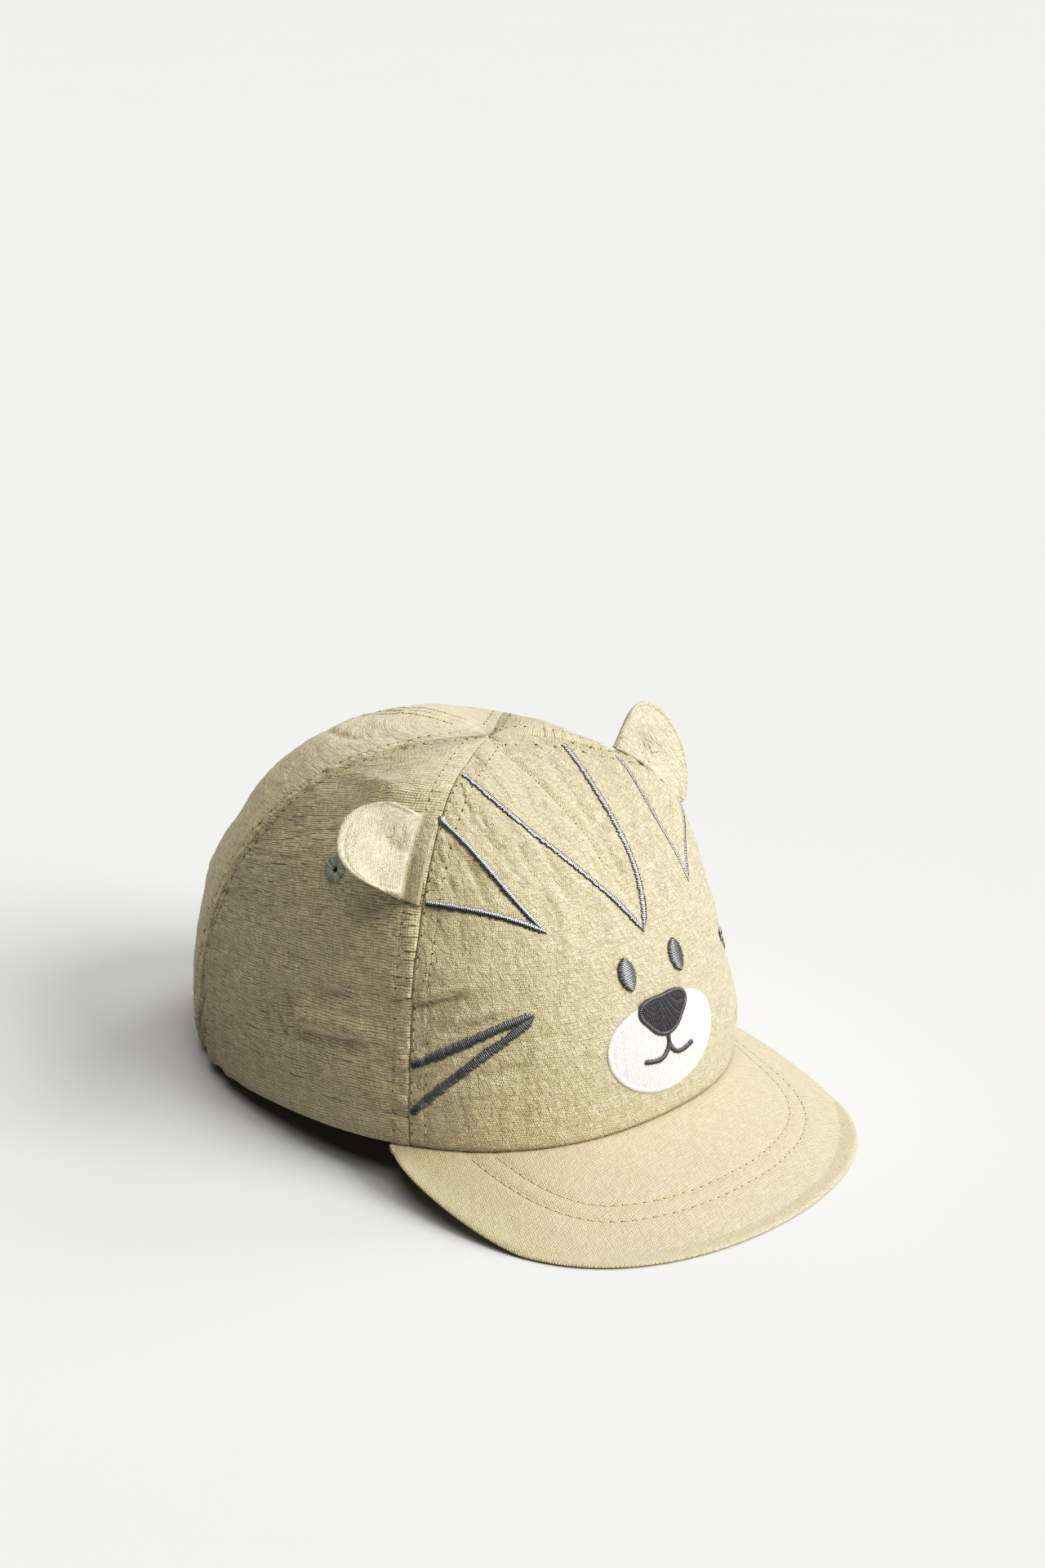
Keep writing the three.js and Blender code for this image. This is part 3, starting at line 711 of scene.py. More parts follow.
def weave_group(name):
    """Woven cloth from a place in mm: the height of its threads, the painted shade of the gaps between them
    and their tone.
    """
    graph, given, out = new_group(
        name, "ShaderNodeTree",
        {
            "Place": "NodeSocketVector", "Rib Pitch": 1.0, "Thread Pitch": 1.0, "Wander": 0.5, "Jitter": 0.5,
            "Slub": 0.5, "Crossing": 0.5,
        },
        dict.fromkeys(("Height", "Gap", "Tone"), "NodeSocketFloat"))
    moved = graph.drifted(given["Place"], given["Place"], WEAVE.wander_scale, 3.0, given["Wander"])
    moved = graph.drifted(moved, given["Place"], WEAVE.jitter_scale, 2.0, given["Jitter"])
    apart = graph.apart(moved)
    y = graph.math("DIVIDE", apart["Y"], given["Rib Pitch"])
    row = graph.math("ROUND", y)
    x = graph.math("DIVIDE", apart["X"], given["Thread Pitch"])
    x = graph.math("ADD", x, graph.product(row, 0.5))
    rib, thread = (
        graph.math("MULTIPLY_ADD", graph.math("COSINE", graph.product(place, math.tau)), 0.5, 0.5)
        for place in (y, x))
    fleck = graph.add(
        "ShaderNodeTexWhiteNoise", {"Vector": graph.combined(graph.math("ROUND", x), row)},
        noise_dimensions="2D").outputs["Value"]
    crossed = graph.product(graph.product(rib, thread), graph.remapped(fleck, 0, 1, *WEAVE.fleck))
    woven = graph.blended(given["Crossing"], rib, crossed)
    weft = graph.noise(graph.combined(graph.product(x, WEAVE.streak), y), 1.0, 2.0)[0]
    warp = graph.noise(graph.combined(x, graph.product(y, WEAVE.streak), 7.0), 1.0, 2.0)[0]
    fuzz = graph.noise(moved, WEAVE.fuzz_scale, 3.0, Roughness=0.65)[0]
    slubs = graph.math("ADD", weft, warp)
    uneven = graph.math("ADD", graph.product(slubs, WEAVE.slub_share), graph.product(fuzz, WEAVE.fuzz_share))
    height = graph.blended(given["Slub"], woven, graph.remapped(uneven, *WEAVE.uneven))
    graph.feed(out["Height"], height)
    # Painted shade where the threads lie low, in the gaps between them.
    graph.feed(out["Gap"], graph.remapped(height, *WEAVE.gap, smooth_ends=True))
    graph.feed(out["Tone"], graph.remapped(slubs, *WEAVE.tone))
    return graph.tree


def crinkle_group(name):
    """Fine creases from a place in mm: where their valleys lie, for painted shade, and how high the cloth
    stands between them.
    """
    graph, given, out = new_group(
        name, "ShaderNodeTree", {"Place": "NodeSocketVector", "Across": 0.2, "Along": 0.4},
        dict.fromkeys(("Height", "Valley"), "NodeSocketFloat"))
    apart = graph.apart(given["Place"])
    x, y = graph.product(apart["X"], given["Across"]), graph.product(apart["Y"], given["Along"])
    spot = graph.combined(x, y, 3.0)
    noise = graph.noise(spot, 1.0, FINE_CREASE.detail, Distortion=FINE_CREASE.distortion)[0]
    slope = graph.math("ABSOLUTE", graph.math("SUBTRACT", noise, 0.5))
    graph.feed(out["Height"], graph.remapped(slope, 0, FINE_CREASE.swell, smooth_ends=True))
    # The crease valleys, where painted shade goes.
    graph.feed(out["Valley"], graph.remapped(slope, FINE_CREASE.valley, 0, smooth_ends=True))
    return graph.tree


def principled(material):
    return material.node_tree.nodes["Principled BSDF"]


def plain_material(name, colour, roughness):
    material = bpy.data.materials.new(name)
    material.use_nodes = True
    shader = principled(material)
    shader.inputs["Base Color"].default_value = (*colour, 1)
    shader.inputs["Roughness"].default_value = roughness
    return material


def tinted(colour, shares):
    """A colour with each channel multiplied by its share, at most 1."""
    return (*(min(channel * share, 1) for channel, share in zip(colour, shares)), 1)


CREASE_DEPTH = 0.34
# How far a cloth's tones lie from its colour in each channel, the dark one being painted shade, and how much
# of that painted shade its creases take.
CLOTH_TONES = Sizes(
    deep=(-0.14, -0.15, -0.22), pale=(0.14, 0.15, 0.2), dark=(-0.65, -0.65, -0.77), valley=0.2)


def cloth_material(
        name, colour, rib, thread, wander, jitter, slub, crossing, depth, gap, mottling=1.0, strip=0.0,
        crease_across=0.1, crease_along=0.32):
    """Matt cotton whose threads, slubs and open gaps follow the cloth, with painted shade in its gaps, crease
    valleys and the ears' strips.
    """
    material = plain_material(name, colour, 0.92)
    graph = Graph(material.node_tree)
    shader = principled(material)
    spot = graph.attribute("cloth_mm", "Vector")
    weave = graph.grouped("woven cloth", weave_group, {
        "Place": spot, "Rib Pitch": rib, "Thread Pitch": thread, "Wander": wander, "Jitter": jitter,
        "Slub": slub, "Crossing": crossing})
    mottle = graph.noise(spot, 0.4, 4.0)[0]
    deep, pale = (
        tinted(colour, [1 + mottling * step for step in steps])
        for steps in (CLOTH_TONES.deep, CLOTH_TONES.pale))
    # The dark tone is painted shade, used in the weave's gaps, the crease valleys and the ears' strips.
    dark = tinted(colour, [1 + step for step in CLOTH_TONES.dark])
    tone = graph.math("ADD", graph.product(weave["Tone"], 0.5), graph.product(mottle, 0.5))
    base = graph.mixed(tone, deep, pale)
    # Painted shade on the ears' strips.
    if strip:
        base = graph.mixed(graph.product(graph.attribute("strip_tone", "Fac"), strip), base, dark)
    # Painted shade in the gaps between the threads.
    base = graph.mixed(graph.product(weave["Gap"], gap), base, dark)
    crinkle = graph.attribute("crinkle", "Fac")
    crease = graph.grouped("fine creases", crinkle_group, {
        "Place": spot, "Across": crease_across, "Along": crease_along})
    # Painted shade in the valleys of the fine creases, as strong as the cloth is crinkled.
    valley = graph.product(graph.product(crease["Valley"], crinkle), CLOTH_TONES.valley)
    graph.feed(shader.inputs["Base Color"], graph.mixed(valley, base, dark))
    creased = graph.bumped(graph.product(crease["Height"], crinkle), CREASE_DEPTH * MM)
    graph.feed(shader.inputs["Normal"], graph.bumped(weave["Height"], depth * MM, Normal=creased))
    graph.feed(shader.inputs["Roughness"], graph.remapped(weave["Height"], 0, 1, 0.98, 0.86))
    shader.inputs["Specular IOR Level"].default_value = 0.5
    shader.inputs["Sheen Weight"].default_value = 0.3
    shader.inputs["Sheen Roughness"].default_value = 0.5
    return material


def thread_material(name, colour, roughness=0.42, spread=0.35, specular=0.5, sheen=0.2, ior=1.5):
    """Stitched thread: each strand has its own tone, with fine fibres along it."""
    material = plain_material(name, colour, roughness)
    graph = Graph(material.node_tree)
    shader = principled(material)
    tone = graph.attribute("thread_tone", "Fac")
    fibre = graph.noise(graph.add("ShaderNodeTexCoord").outputs["Object"], 2600.0, 2.0)[0]
    mixed_tone = graph.math("ADD", graph.product(tone, 0.6), graph.product(fibre, 0.4))
    low, high = tinted(colour, [1 - spread] * 3), tinted(colour, [1 + spread] * 3)
    graph.feed(shader.inputs["Base Color"], graph.mixed(mixed_tone, low, high))
    gloss = graph.remapped(fibre, 0.3, 0.7, roughness - 0.08, roughness + 0.12)
    graph.feed(shader.inputs["Roughness"], gloss)
    graph.feed(shader.inputs["Normal"], graph.bumped(fibre, 0.03 * MM, 0.6))
    shader.inputs["Specular IOR Level"].default_value = specular
    shader.inputs["IOR"].default_value = ior
    shader.inputs["Sheen Weight"].default_value = sheen
    shader.inputs["Sheen Roughness"].default_value = 0.4
    return material


# Each cloth's colour setting and weave: pitches, wander, jitter and depth in mm, the rest as shares.
CLOTHS = {
    "crinkled crown cloth": ("crown_colour", dict(
        rib=0.64, thread=0.64, wander=2.2, jitter=0.95, slub=0.46, crossing=0.9, depth=0.43, gap=0.66,
        crease_across=0.3, crease_along=0.17)),
    "smooth crown cloth": ("crown_colour", dict(
        rib=0.8, thread=0.76, wander=1.6, jitter=0.8, slub=0.5, crossing=0.8, depth=0.19, gap=0.55)),
    "ribbed crown cloth": ("crown_colour", dict(
        rib=0.8, thread=0.76, wander=1.2, jitter=0.6, slub=0.36, crossing=0.75, depth=0.3, gap=0.8)),
    "peak cloth": ("peak_colour", dict(
        rib=0.66, thread=0.66, wander=0.8, jitter=0.6, slub=0.32, crossing=0.95, depth=0.17, gap=0.56,
        mottling=0.45)),
    "ear cloth": ("ear_colour", dict(
        rib=0.68, thread=0.7, wander=1.4, jitter=0.9, slub=0.45, crossing=0.9, depth=0.26, gap=0.55,
        strip=0.5, crease_across=0.3, crease_along=0.34)),
}
# Each thread's colour setting and finish.
THREADS = {
    "charcoal satin thread": ("charcoal", dict(roughness=0.34, spread=0.5, specular=1.0, sheen=0.0, ior=3.0)),
    "charcoal fill thread": ("charcoal", dict(roughness=0.5, spread=0.6, specular=1.0, sheen=0.3, ior=1.9)),
    "charcoal eye thread": ("charcoal", dict(roughness=0.42, spread=0.9, specular=1.0, sheen=0.5, ior=2.3)),
    "white satin thread": ("white", dict(roughness=0.5, spread=0.06, specular=0.5, sheen=0.2)),
    "eyelet thread": ("eyelet", dict(roughness=0.5, spread=0.6)),
    "topstitch thread": ("topstitch", dict(roughness=0.6, spread=0.2, specular=0.3)),
    # The needle holes are dark grains of painted shade.
    "needle hole": ("hole", dict(roughness=0.9, spread=0.3, specular=0.1, sheen=0.0)),
}


def dyed_cloth(name):
    """A cloth's material, made when it is first asked for."""
    setting, weave = CLOTHS[name]
    colour = getattr(bpy.context.scene.cap_cloth, setting)
    return bpy.data.materials.get(name) or cloth_material(name, colour, **weave)


def dyed_thread(name):
    """A thread's material, made when it is first asked for."""
    setting, finish = THREADS[name]
    colour = getattr(bpy.context.scene.cap_thread, setting)
    return bpy.data.materials.get(name) or thread_material(name, colour, **finish)


# Stitches


def path_frame(graph, path, pitch):
    """A path with a point at each pitch, the cloth's normal and the path's direction there."""
    curve = graph.add("GeometryNodeMeshToCurve", {0: path}).outputs[0]
    values = {"Curve": curve, "Length": pitch}
    spaced = graph.add("GeometryNodeResampleCurve", values, mode="LENGTH").outputs[0]
    tangent = graph.add("GeometryNodeInputTangent").outputs[0]
    return spaced, kept_value(graph, "surface_normal", "FLOAT_VECTOR"), tangent


def kept_value(graph, name, kind):
    """What path_object keeps at each point of a path under a name."""
    return graph.add("GeometryNodeInputNamedAttribute", {"Name": name}, data_type=kind).outputs[0]


def turned(graph, normal, direction):
    """The turn that lays X along a direction and Z up from the cloth."""
    axes = dict(primary_axis="Z", secondary_axis="X")
    return graph.add("FunctionNodeAxesToRotation", {0: normal, 1: direction}, **axes).outputs[0]


def ring(graph, sides, radius):
    return graph.add(
        "GeometryNodeCurvePrimitiveCircle", {"Resolution": sides, "Radius": radius}, mode="RADIUS").outputs[0]


def swept(graph, curve, section):
    return graph.add(
        "GeometryNodeCurveToMesh", {"Curve": curve, "Profile Curve": section, "Fill Caps": True}).outputs[0]


def grain(graph, segments, rings):
    values = {"Segments": segments, "Rings": rings, "Radius": 0.5}
    return graph.add("GeometryNodeMeshUVSphere", values).outputs[0]


def dressed(graph, geometry, thread):
    """Geometry made real and smooth, and given its thread."""
    real = graph.add("GeometryNodeRealizeInstances", {"Geometry": geometry}).outputs[0]
    soft = graph.add("GeometryNodeSetShadeSmooth", {"Geometry": real}).outputs[0]
    return graph.add("GeometryNodeSetMaterial", {"Geometry": soft, "Material": thread}).outputs[0]


def laid(graph, points, strand, turn, scale, thread, seed):
    """A strand at each point, every one with its own tone."""
    strands = graph.add(
        "GeometryNodeInstanceOnPoints",
        {"Points": points, "Instance": strand, "Rotation": turn, "Scale": scale}).outputs[0]
    tone = graph.add("FunctionNodeRandomValue", {"Seed": seed}, data_type="FLOAT").outputs[1]
    toned = graph.add(
        "GeometryNodeStoreNamedAttribute", {"Geometry": strands, "Name": "thread_tone", "Value": tone},
        data_type="FLOAT", domain="INSTANCE").outputs[0]
    return dressed(graph, toned, thread)


def random_range(graph, low, high, seed):
    return graph.add("FunctionNodeRandomValue", {2: low, 3: high, "Seed": seed}, data_type="FLOAT").outputs[1]


# The arch of a satin thread 2 wide: how low its feet lie, how far out its handles are, its points and sides.
ARCH = Sizes(foot=-0.4, shoulder=0.9, points=7, sides=6)
# How much running stitches and needle holes vary in length, and how wide a hole is for its length.
RUNNING = Sizes(length=(0.9, 1.08), hole=(0.55, 1.3), hole_width=0.8)
# Where in its turn, as a cosine, a fill thread starts to dip, and its sides.
FILL = Sizes(dip_from=0.72, sides=5)


def satin_group(name):
    """Threads laid side by side across a path, each an arch as wide as the path is there."""
    graph, given, out = new_group(
        name, "GeometryNodeTree",
        {
            "Path": "NodeSocketGeometry", "Pitch": 0.0004, "Thread mm": 0.42, "Rise mm": 0.5,
            "Flatness": 0.38, "Raggedness": 0.08, "Seed": 1, "Thread": "NodeSocketMaterial",
        },
        {"Stitches": "NodeSocketGeometry"})
    spaced, normal, tangent = path_frame(graph, given["Path"], given["Pitch"])
    turn = turned(graph, normal, graph.vector("CROSS_PRODUCT", normal, tangent))
    low = graph.math("SUBTRACT", 1.0, given["Raggedness"])
    high = graph.math("ADD", 1.0, given["Raggedness"])
    half_width = kept_value(graph, "half_width", "FLOAT")
    ragged = graph.product(half_width, random_range(graph, low, high, given["Seed"]))
    rise = graph.math("DIVIDE", given["Rise mm"], given["Flatness"])
    arch = graph.add(
        "GeometryNodeCurvePrimitiveBezierSegment",
        {"Resolution": ARCH.points, "Start": (-1, 0, ARCH.foot), "End": (1, 0, ARCH.foot),
         "Start Handle": graph.combined(-ARCH.shoulder, 0.0, rise),
         "End Handle": graph.combined(ARCH.shoulder, 0.0, rise)},
        mode="POSITION").outputs[0]
    strand = swept(graph, arch, ring(graph, ARCH.sides, graph.product(given["Thread mm"], 0.5)))
    scale = graph.combined(ragged, MM, graph.product(given["Flatness"], MM))
    graph.feed(out["Stitches"], laid(graph, spaced, strand, turn, scale, given["Thread"], given["Seed"]))
    return graph.tree


def run_group(name):
    """Stitches laid end to end along a path, with a dark grain of painted shade for the needle hole where two
    meet.
    """
    graph, given, out = new_group(
        name, "GeometryNodeTree",
        {
            "Path": "NodeSocketGeometry", "Pitch": 0.003, "Length": 0.0026, "Width": 0.0004, "Height": 0.0003,
            "Hole": 0.0006, "Seed": 1, "Thread": "NodeSocketMaterial", "Hole Colour": "NodeSocketMaterial",
        },
        {"Stitches": "NodeSocketGeometry"})
    spaced, normal, tangent = path_frame(graph, given["Path"], given["Pitch"])
    turn = turned(graph, normal, tangent)
    seed = given["Seed"]
    long = graph.product(given["Length"], random_range(graph, *RUNNING.length, seed))
    stitch = graph.combined(long, given["Width"], given["Height"])
    stitches = laid(graph, spaced, grain(graph, 8, 5), turn, stitch, given["Thread"], seed)
    between = graph.add(
        "GeometryNodeSetPosition",
        {"Geometry": spaced, "Offset": graph.scaled(tangent, graph.product(given["Pitch"], 0.5))}).outputs[0]
    # A dark grain of painted shade for each needle hole, between two stitches.
    wide = graph.product(given["Hole"], random_range(graph, *RUNNING.hole, seed))
    hole = graph.combined(wide, graph.product(given["Hole"], RUNNING.hole_width), given["Height"])
    holes = laid(graph, between, grain(graph, 6, 4), turn, hole, given["Hole Colour"], seed)
    joined = graph.add("GeometryNodeJoinGeometry")
    for part in (holes, stitches):
        graph.tree.links.new(part, joined.inputs[0])
    graph.feed(out["Stitches"], joined.outputs[0])
    return graph.tree


def fill_group(name):
    """Threads laid along each path, dipping where one long stitch ends and the next starts."""
    graph, given, out = new_group(
        name, "GeometryNodeTree",
        {
            "Path": "NodeSocketGeometry", "Step": 0.0004, "Stitch Length": 0.0032, "Dip": 0.00012,
            "Radius": 0.00025, "Thread": "NodeSocketMaterial",
        },
        {"Stitches": "NodeSocketGeometry"})
    spaced, normal, _ = path_frame(graph, given["Path"], given["Step"])
    run = graph.add("GeometryNodeSplineParameter").outputs["Length"]
    # The half width of a fill row is how far its stitches are shifted along it.
    shifted = graph.math("ADD", run, kept_value(graph, "half_width", "FLOAT"))
    turns = graph.math("DIVIDE", shifted, given["Stitch Length"])
    wave = graph.math("COSINE", graph.product(turns, math.tau))
    pinch = graph.remapped(wave, FILL.dip_from, 1.0, smooth_ends=True)
    sunk = graph.scaled(normal, graph.product(graph.product(pinch, given["Dip"]), -1.0))
    dipped = graph.add("GeometryNodeSetPosition", {"Geometry": spaced, "Offset": sunk}).outputs[0]
    tube = swept(graph, dipped, ring(graph, FILL.sides, given["Radius"]))
    graph.feed(out["Stitches"], dressed(graph, tube, given["Thread"]))
    return graph.tree


def path_object(name, runs):
    """An object of plain edges, one chain to each run of points, normals and half widths in mm."""
    points, normals, widths, edges = [], [], [], []
    start = 0
    for run in runs:
        count = len(run.points)
        points.append(place(run.points))
        normals.append(unit(lean_back(run.normals)))
        widths.append(np.broadcast_to(np.asarray(run.half_width, float) * MM, count))
        ends = np.arange(start, start + count)
        edges.append(np.stack([ends[:-1], ends[1:]], axis=1))
        if run.closed:
            edges.append(np.array([[ends[-1], ends[0]]]))
        start += count
    mesh = bpy.data.meshes.new(name)
    mesh.from_pydata(np.concatenate(points).tolist(), np.concatenate(edges).tolist(), [])
    store_vectors(mesh, "surface_normal", np.concatenate(normals))
    store_numbers(mesh, "half_width", np.concatenate(widths))
    tones = np.random.default_rng(len(runs)).uniform(0, 1, len(runs))
    store_numbers(mesh, "thread_tone", np.repeat(tones, [len(run.points) for run in runs]))
    return new_object(name, mesh)


def run_of(points_normals, half_width=1.0, closed=False):
    points, normals = points_normals
    return Sizes(points=points, normals=normals, half_width=half_width, closed=closed)


def grow(made, tree, values):
    """Runs a Geometry Nodes tree on a path object and keeps the result as its plain mesh."""
    modifier = made.modifiers.new(tree.name, "NODES")
    modifier.node_group = tree
    for item in tree.interface.items_tree:
        if item.item_type == "SOCKET" and item.in_out == "INPUT" and item.name in values:
            modifier[item.identifier] = values[item.name]
    seen = made.evaluated_get(bpy.context.evaluated_depsgraph_get())
    mesh = bpy.data.meshes.new_from_object(seen)
    made.modifiers.remove(modifier)
    path, made.data = made.data, mesh
    bpy.data.meshes.remove(path)
    mesh.name = made.name
    return made


# A running stitch's length for its pitch and height for its thread, and a fill thread's radius for its pitch.
STITCH_LENGTH, STITCH_HEIGHT, FILL_RADIUS, FILL_STEPS = 0.84, 0.8, 0.56, 8


def satin(name, runs, thread, slot, *nodes, rise=0.5, raggedness=0.08, seed=1, pitch=1.0):
    """Satin stitch across each run, its threads rising that many mm above the run."""
    settings = bpy.context.scene.cap_thread
    made = grow(path_object(name, runs), cached_group("satin stitch", satin_group), {
        "Pitch": pitch * settings.satin_pitch, "Thread mm": pitch * settings.satin_thread / MM,
        "Rise mm": rise, "Raggedness": raggedness, "Seed": seed, "Thread": dyed_thread(thread)})
    return finish_piece(made, None, slot, *nodes)


def topstitch(name, runs, seed=1, pitch=None, hole=1.6):
    """Running stitches along each run, with needle holes of painted shade as long as that many threads are
    thick.
    """
    settings = bpy.context.scene.cap_thread
    pitch = pitch or settings.topstitch_pitch
    made = grow(path_object(name, runs), cached_group("running stitch", run_group), {
        "Pitch": pitch, "Length": STITCH_LENGTH * pitch, "Width": settings.topstitch_thread,
        "Height": STITCH_HEIGHT * settings.topstitch_thread, "Hole": hole * settings.topstitch_thread,
        "Seed": seed, "Thread": dyed_thread("topstitch thread"), "Hole Colour": dyed_thread("needle hole")})
    return finish_piece(made, None, "crown_cloth")


def filled(name, runs, thread, slot):
    """Close rows of long stitches that fill an embroidered field."""
    settings = bpy.context.scene.cap_thread
    made = grow(path_object(name, runs), cached_group("fill stitch", fill_group), {
        "Step": settings.fill_length / FILL_STEPS, "Stitch Length": settings.fill_length,
        "Radius": FILL_RADIUS * settings.fill_pitch, "Thread": dyed_thread(thread)})
    return finish_piece(made, None, slot)


# Embroidery


# The raised ground of a field: how far it reaches into the cloth in mm, and how squarely its edge falls.
GROUND = Sizes(sink=0.15, squareness=6)
# Points of a fill row lie about this many mm apart, and it has at least so many.
FILL_ROW = Sizes(step=0.8, least=4)


def field_outline(field, bearing):
    """Points of a field's outline in mm from its centre, at bearings in radians."""
    swell = 1 + field.triangle * np.sin(3 * bearing)
    return field.half_width * np.cos(bearing) * swell, field.half_height * np.sin(bearing) * swell


def on_field(field, x, y, lift, side=RIGHT):
    """Points on the front panel at x, y mm from the centre of a field on one side."""
    around = side * field.around
    per_up = length(crown_frame(around, field.up)[2])
    middle = smooth_crown(around, field.up)[0]
    up = field.up + np.asarray(y) / per_up
    return on_panel("front_panel", front_angle(middle + np.asarray(x), up), up, lift)


def field_ground(name, field, thread, slot, node, lift, thickness, density):
    """The raised ground that the threads of a field lie on."""
    side = np.linspace(-1, 1, density)
    a, b = np.meshgrid(side, side)
    x, y = a * np.sqrt(1 - b * b / 2), b * np.sqrt(1 - a * a / 2)
    reach = np.hypot(x, y)
    swell = 1 + field.triangle * np.sin(3 * np.arctan2(y, x)) * reach
    x, y = field.half_width * x * swell, field.half_height * y * swell
    rise = thickness * np.sqrt(np.maximum(1 - reach ** GROUND.squareness, 0))
    outer, _ = on_field(field, x, y, lift + rise)
    inner, _ = on_field(field, x, y, lift - GROUND.sink)
    mesh = shell_mesh(name, place(outer), place(inner), np.stack([x, y], axis=-1))
    return finish_piece(new_object(name, mesh), dyed_thread(thread), slot, node)


def fill_rows(field, pitch, lift, inset):
    """Upright rows of thread across a field, each as long as the field is there, staggered by thirds."""
    bearing = np.linspace(0, np.pi, 181)
    top_x, top_y = field_outline(field, bearing)
    low_x, low_y = field_outline(field, -bearing)
    stitch = bpy.context.scene.cap_thread.fill_length / MM
    rows = []
    for step, x in enumerate(np.arange(-top_x.max() + inset, top_x.max() - inset, pitch)):
        high = np.interp(x, top_x[::-1], top_y[::-1]) - inset
        low = np.interp(x, low_x[::-1], low_y[::-1]) + inset
        if high - low < pitch:
            continue
        y = np.linspace(low, high, max(int((high - low) / FILL_ROW.step), FILL_ROW.least))
        rows.append(run_of(on_field(field, x, y, lift), (step % 3) / 3 * stitch - low))
    return rows


# Each stripe's arms as points: across in mm and height up, from where two arms meet to the far end.
STRIPES = {
    "brow_stripes": Sizes(half_width=0.86, rise=0.7, raggedness=0.25, arms=(
        ((0.5, 0.331), (-4.9, 0.422), (-11.6, 0.519), (-17.1, 0.605), (-19.8, 0.696), (-21.4, 0.732)),
        ((0.9, 0.331), (5.7, 0.405), (8.5, 0.473), (11.2, 0.548), (12.8, 0.627), (14.9, 0.707), (18.0, 0.76)),
    )),
    "temple_stripes_left": Sizes(half_width=0.88, rise=0.7, raggedness=0.25, arms=(
        ((-28.8, 0.348), (-33.0, 0.428), (-34.4, 0.502), (-35.2, 0.565)),
        ((-28.8, 0.348), (-35.9, 0.365), (-42.8, 0.365), (-48.0, 0.354)),
    )),
    "temple_stripes_right": Sizes(half_width=0.5, rise=0.36, raggedness=0.2, arms=(
        ((27.9, 0.342), (27.8, 0.422), (27.6, 0.496), (30.1, 0.559), (32.1, 0.582)),
        ((27.9, 0.342), (31.6, 0.368), (35.2, 0.39), (40.5, 0.4), (45.5, 0.392)),
    )),
    "whiskers": Sizes(half_width=1.1, rise=0.7, raggedness=0.24, arms=tuple(
        tuple((side * across + shift, up) for across, up in arm)
        for side, shift in ((LEFT, 0), (RIGHT, 1.4))
        for arm in (
            ((37.9, 0.1935), (47.1, 0.1597), (54.1, 0.1255), (59.0, 0.098)),
            ((37.9, 0.191), (47.9, 0.131), (54.8, 0.0855), (60.1, 0.041)),
        )
    )),
}
# The mouth: a stem under the nose, and one side of the smile.
MOUTH_STEM = ((0.0, 0.1265), (0.0, 0.1130))
MOUTH_CURL = ((0.0, 0.1130), (0.9, 0.1040), (2.4, 0.0955), (4.2, 0.0925), (6.8, 0.0935), (9.4, 0.0965))
MOUTH = Sizes(lift=0.95, half_width=0.6, stem_points=12)
# A stripe's share of its width at each end, and how much of its length it takes to reach its full width.
STRIPE_TAPER = Sizes(start=0.3, start_length=0.07, end=0.85, end_length=0.03, lift=0.05)
# The middle line of an eye: how much of its height it takes, and how full the eye's outline is.
EYE_LINE = Sizes(reach=0.985, squareness=2.2, fullness=0.62, lift=0.35)
# The crown's height counts as so many mm when points are spread along a line.
UP_MM = 100


def path_knots(points):
    """How far along their chain some points of across and up lie, in mm."""
    return np.concatenate([[0], np.cumsum(np.hypot(*(np.diff(points, axis=0) * (1, UP_MM)).T))])


def smooth_arm(arm, count):
    """The evenly bent line that passes closest to an arm's points, as two arrays."""
    points = np.array(arm)
    knots = path_knots(points)
    share = np.linspace(0, knots[-1], count)
    return [np.polyval(np.polyfit(knots, column, 3), share) for column in points.T]


def stripe_run(arm, half_width, count=70):
    """Points along one arm of a stripe, narrowed to a point where the two arms meet."""
    across, up = smooth_arm(arm, count)
    share = np.linspace(0, 1, count)
    start = lerp(STRIPE_TAPER.start, 1, smooth(share, 0, STRIPE_TAPER.start_length))
    end = lerp(1, STRIPE_TAPER.end, smooth(share, 1 - STRIPE_TAPER.end_length, 1))
    points = on_panel("front_panel", front_angle(across, up), up, STRIPE_TAPER.lift)
    return run_of(points, half_width * start * end)


def curve_through(points, count=40):
    """A smooth curve through a few points, as two arrays."""
    points = np.array(points)
    knots = path_knots(points)
    share = np.linspace(0, knots[-1], count)
    slopes = np.gradient(points, knots, axis=0)
    index = np.clip(np.searchsorted(knots, share, side="right") - 1, 0, len(knots) - 2)
    span = (knots[index + 1] - knots[index])[:, None]
    t = (share - knots[index])[:, None] / span
    rise, settle = t * t * (3 - 2 * t), t * (1 - t)
    start, end = points[index], points[index + 1]
    bend = (1 - t) * slopes[index] - t * slopes[index + 1]
    return (start + (end - start) * rise + span * settle * bend).T


def mouth_runs():
    runs = []
    for shape, side in ((MOUTH_STEM, RIGHT), (MOUTH_CURL, LEFT), (MOUTH_CURL, RIGHT)):
        across, up = curve_through(shape) if len(shape) > 2 else np.linspace(*shape, MOUTH.stem_points).T
        points = on_panel("front_panel", front_angle(side * across, up), up, MOUTH.lift)
        runs.append(run_of(points, MOUTH.half_width))
    return runs


def outline_run(field, lift, inset, half_width):
    """A closed path just inside a field's outline."""
    x, y = field_outline(field, np.linspace(-np.pi, np.pi, 160, endpoint=False))
    shrink = 1 - inset / np.hypot(x, y)
    return run_of(on_field(field, x * shrink, y * shrink, lift), half_width, closed=True)


def eye_run(side):
    """The middle line of an eye, as wide as the eye is at each height."""
    share = np.linspace(-EYE_LINE.reach, EYE_LINE.reach, 40)
    y = EYE.half_height * share
    width = EYE.half_width * (1 - np.abs(share) ** EYE_LINE.squareness) ** EYE_LINE.fullness
    return run_of(on_field(EYE, np.zeros_like(y), y, EYE_LINE.lift, side), width)


# Topstitching

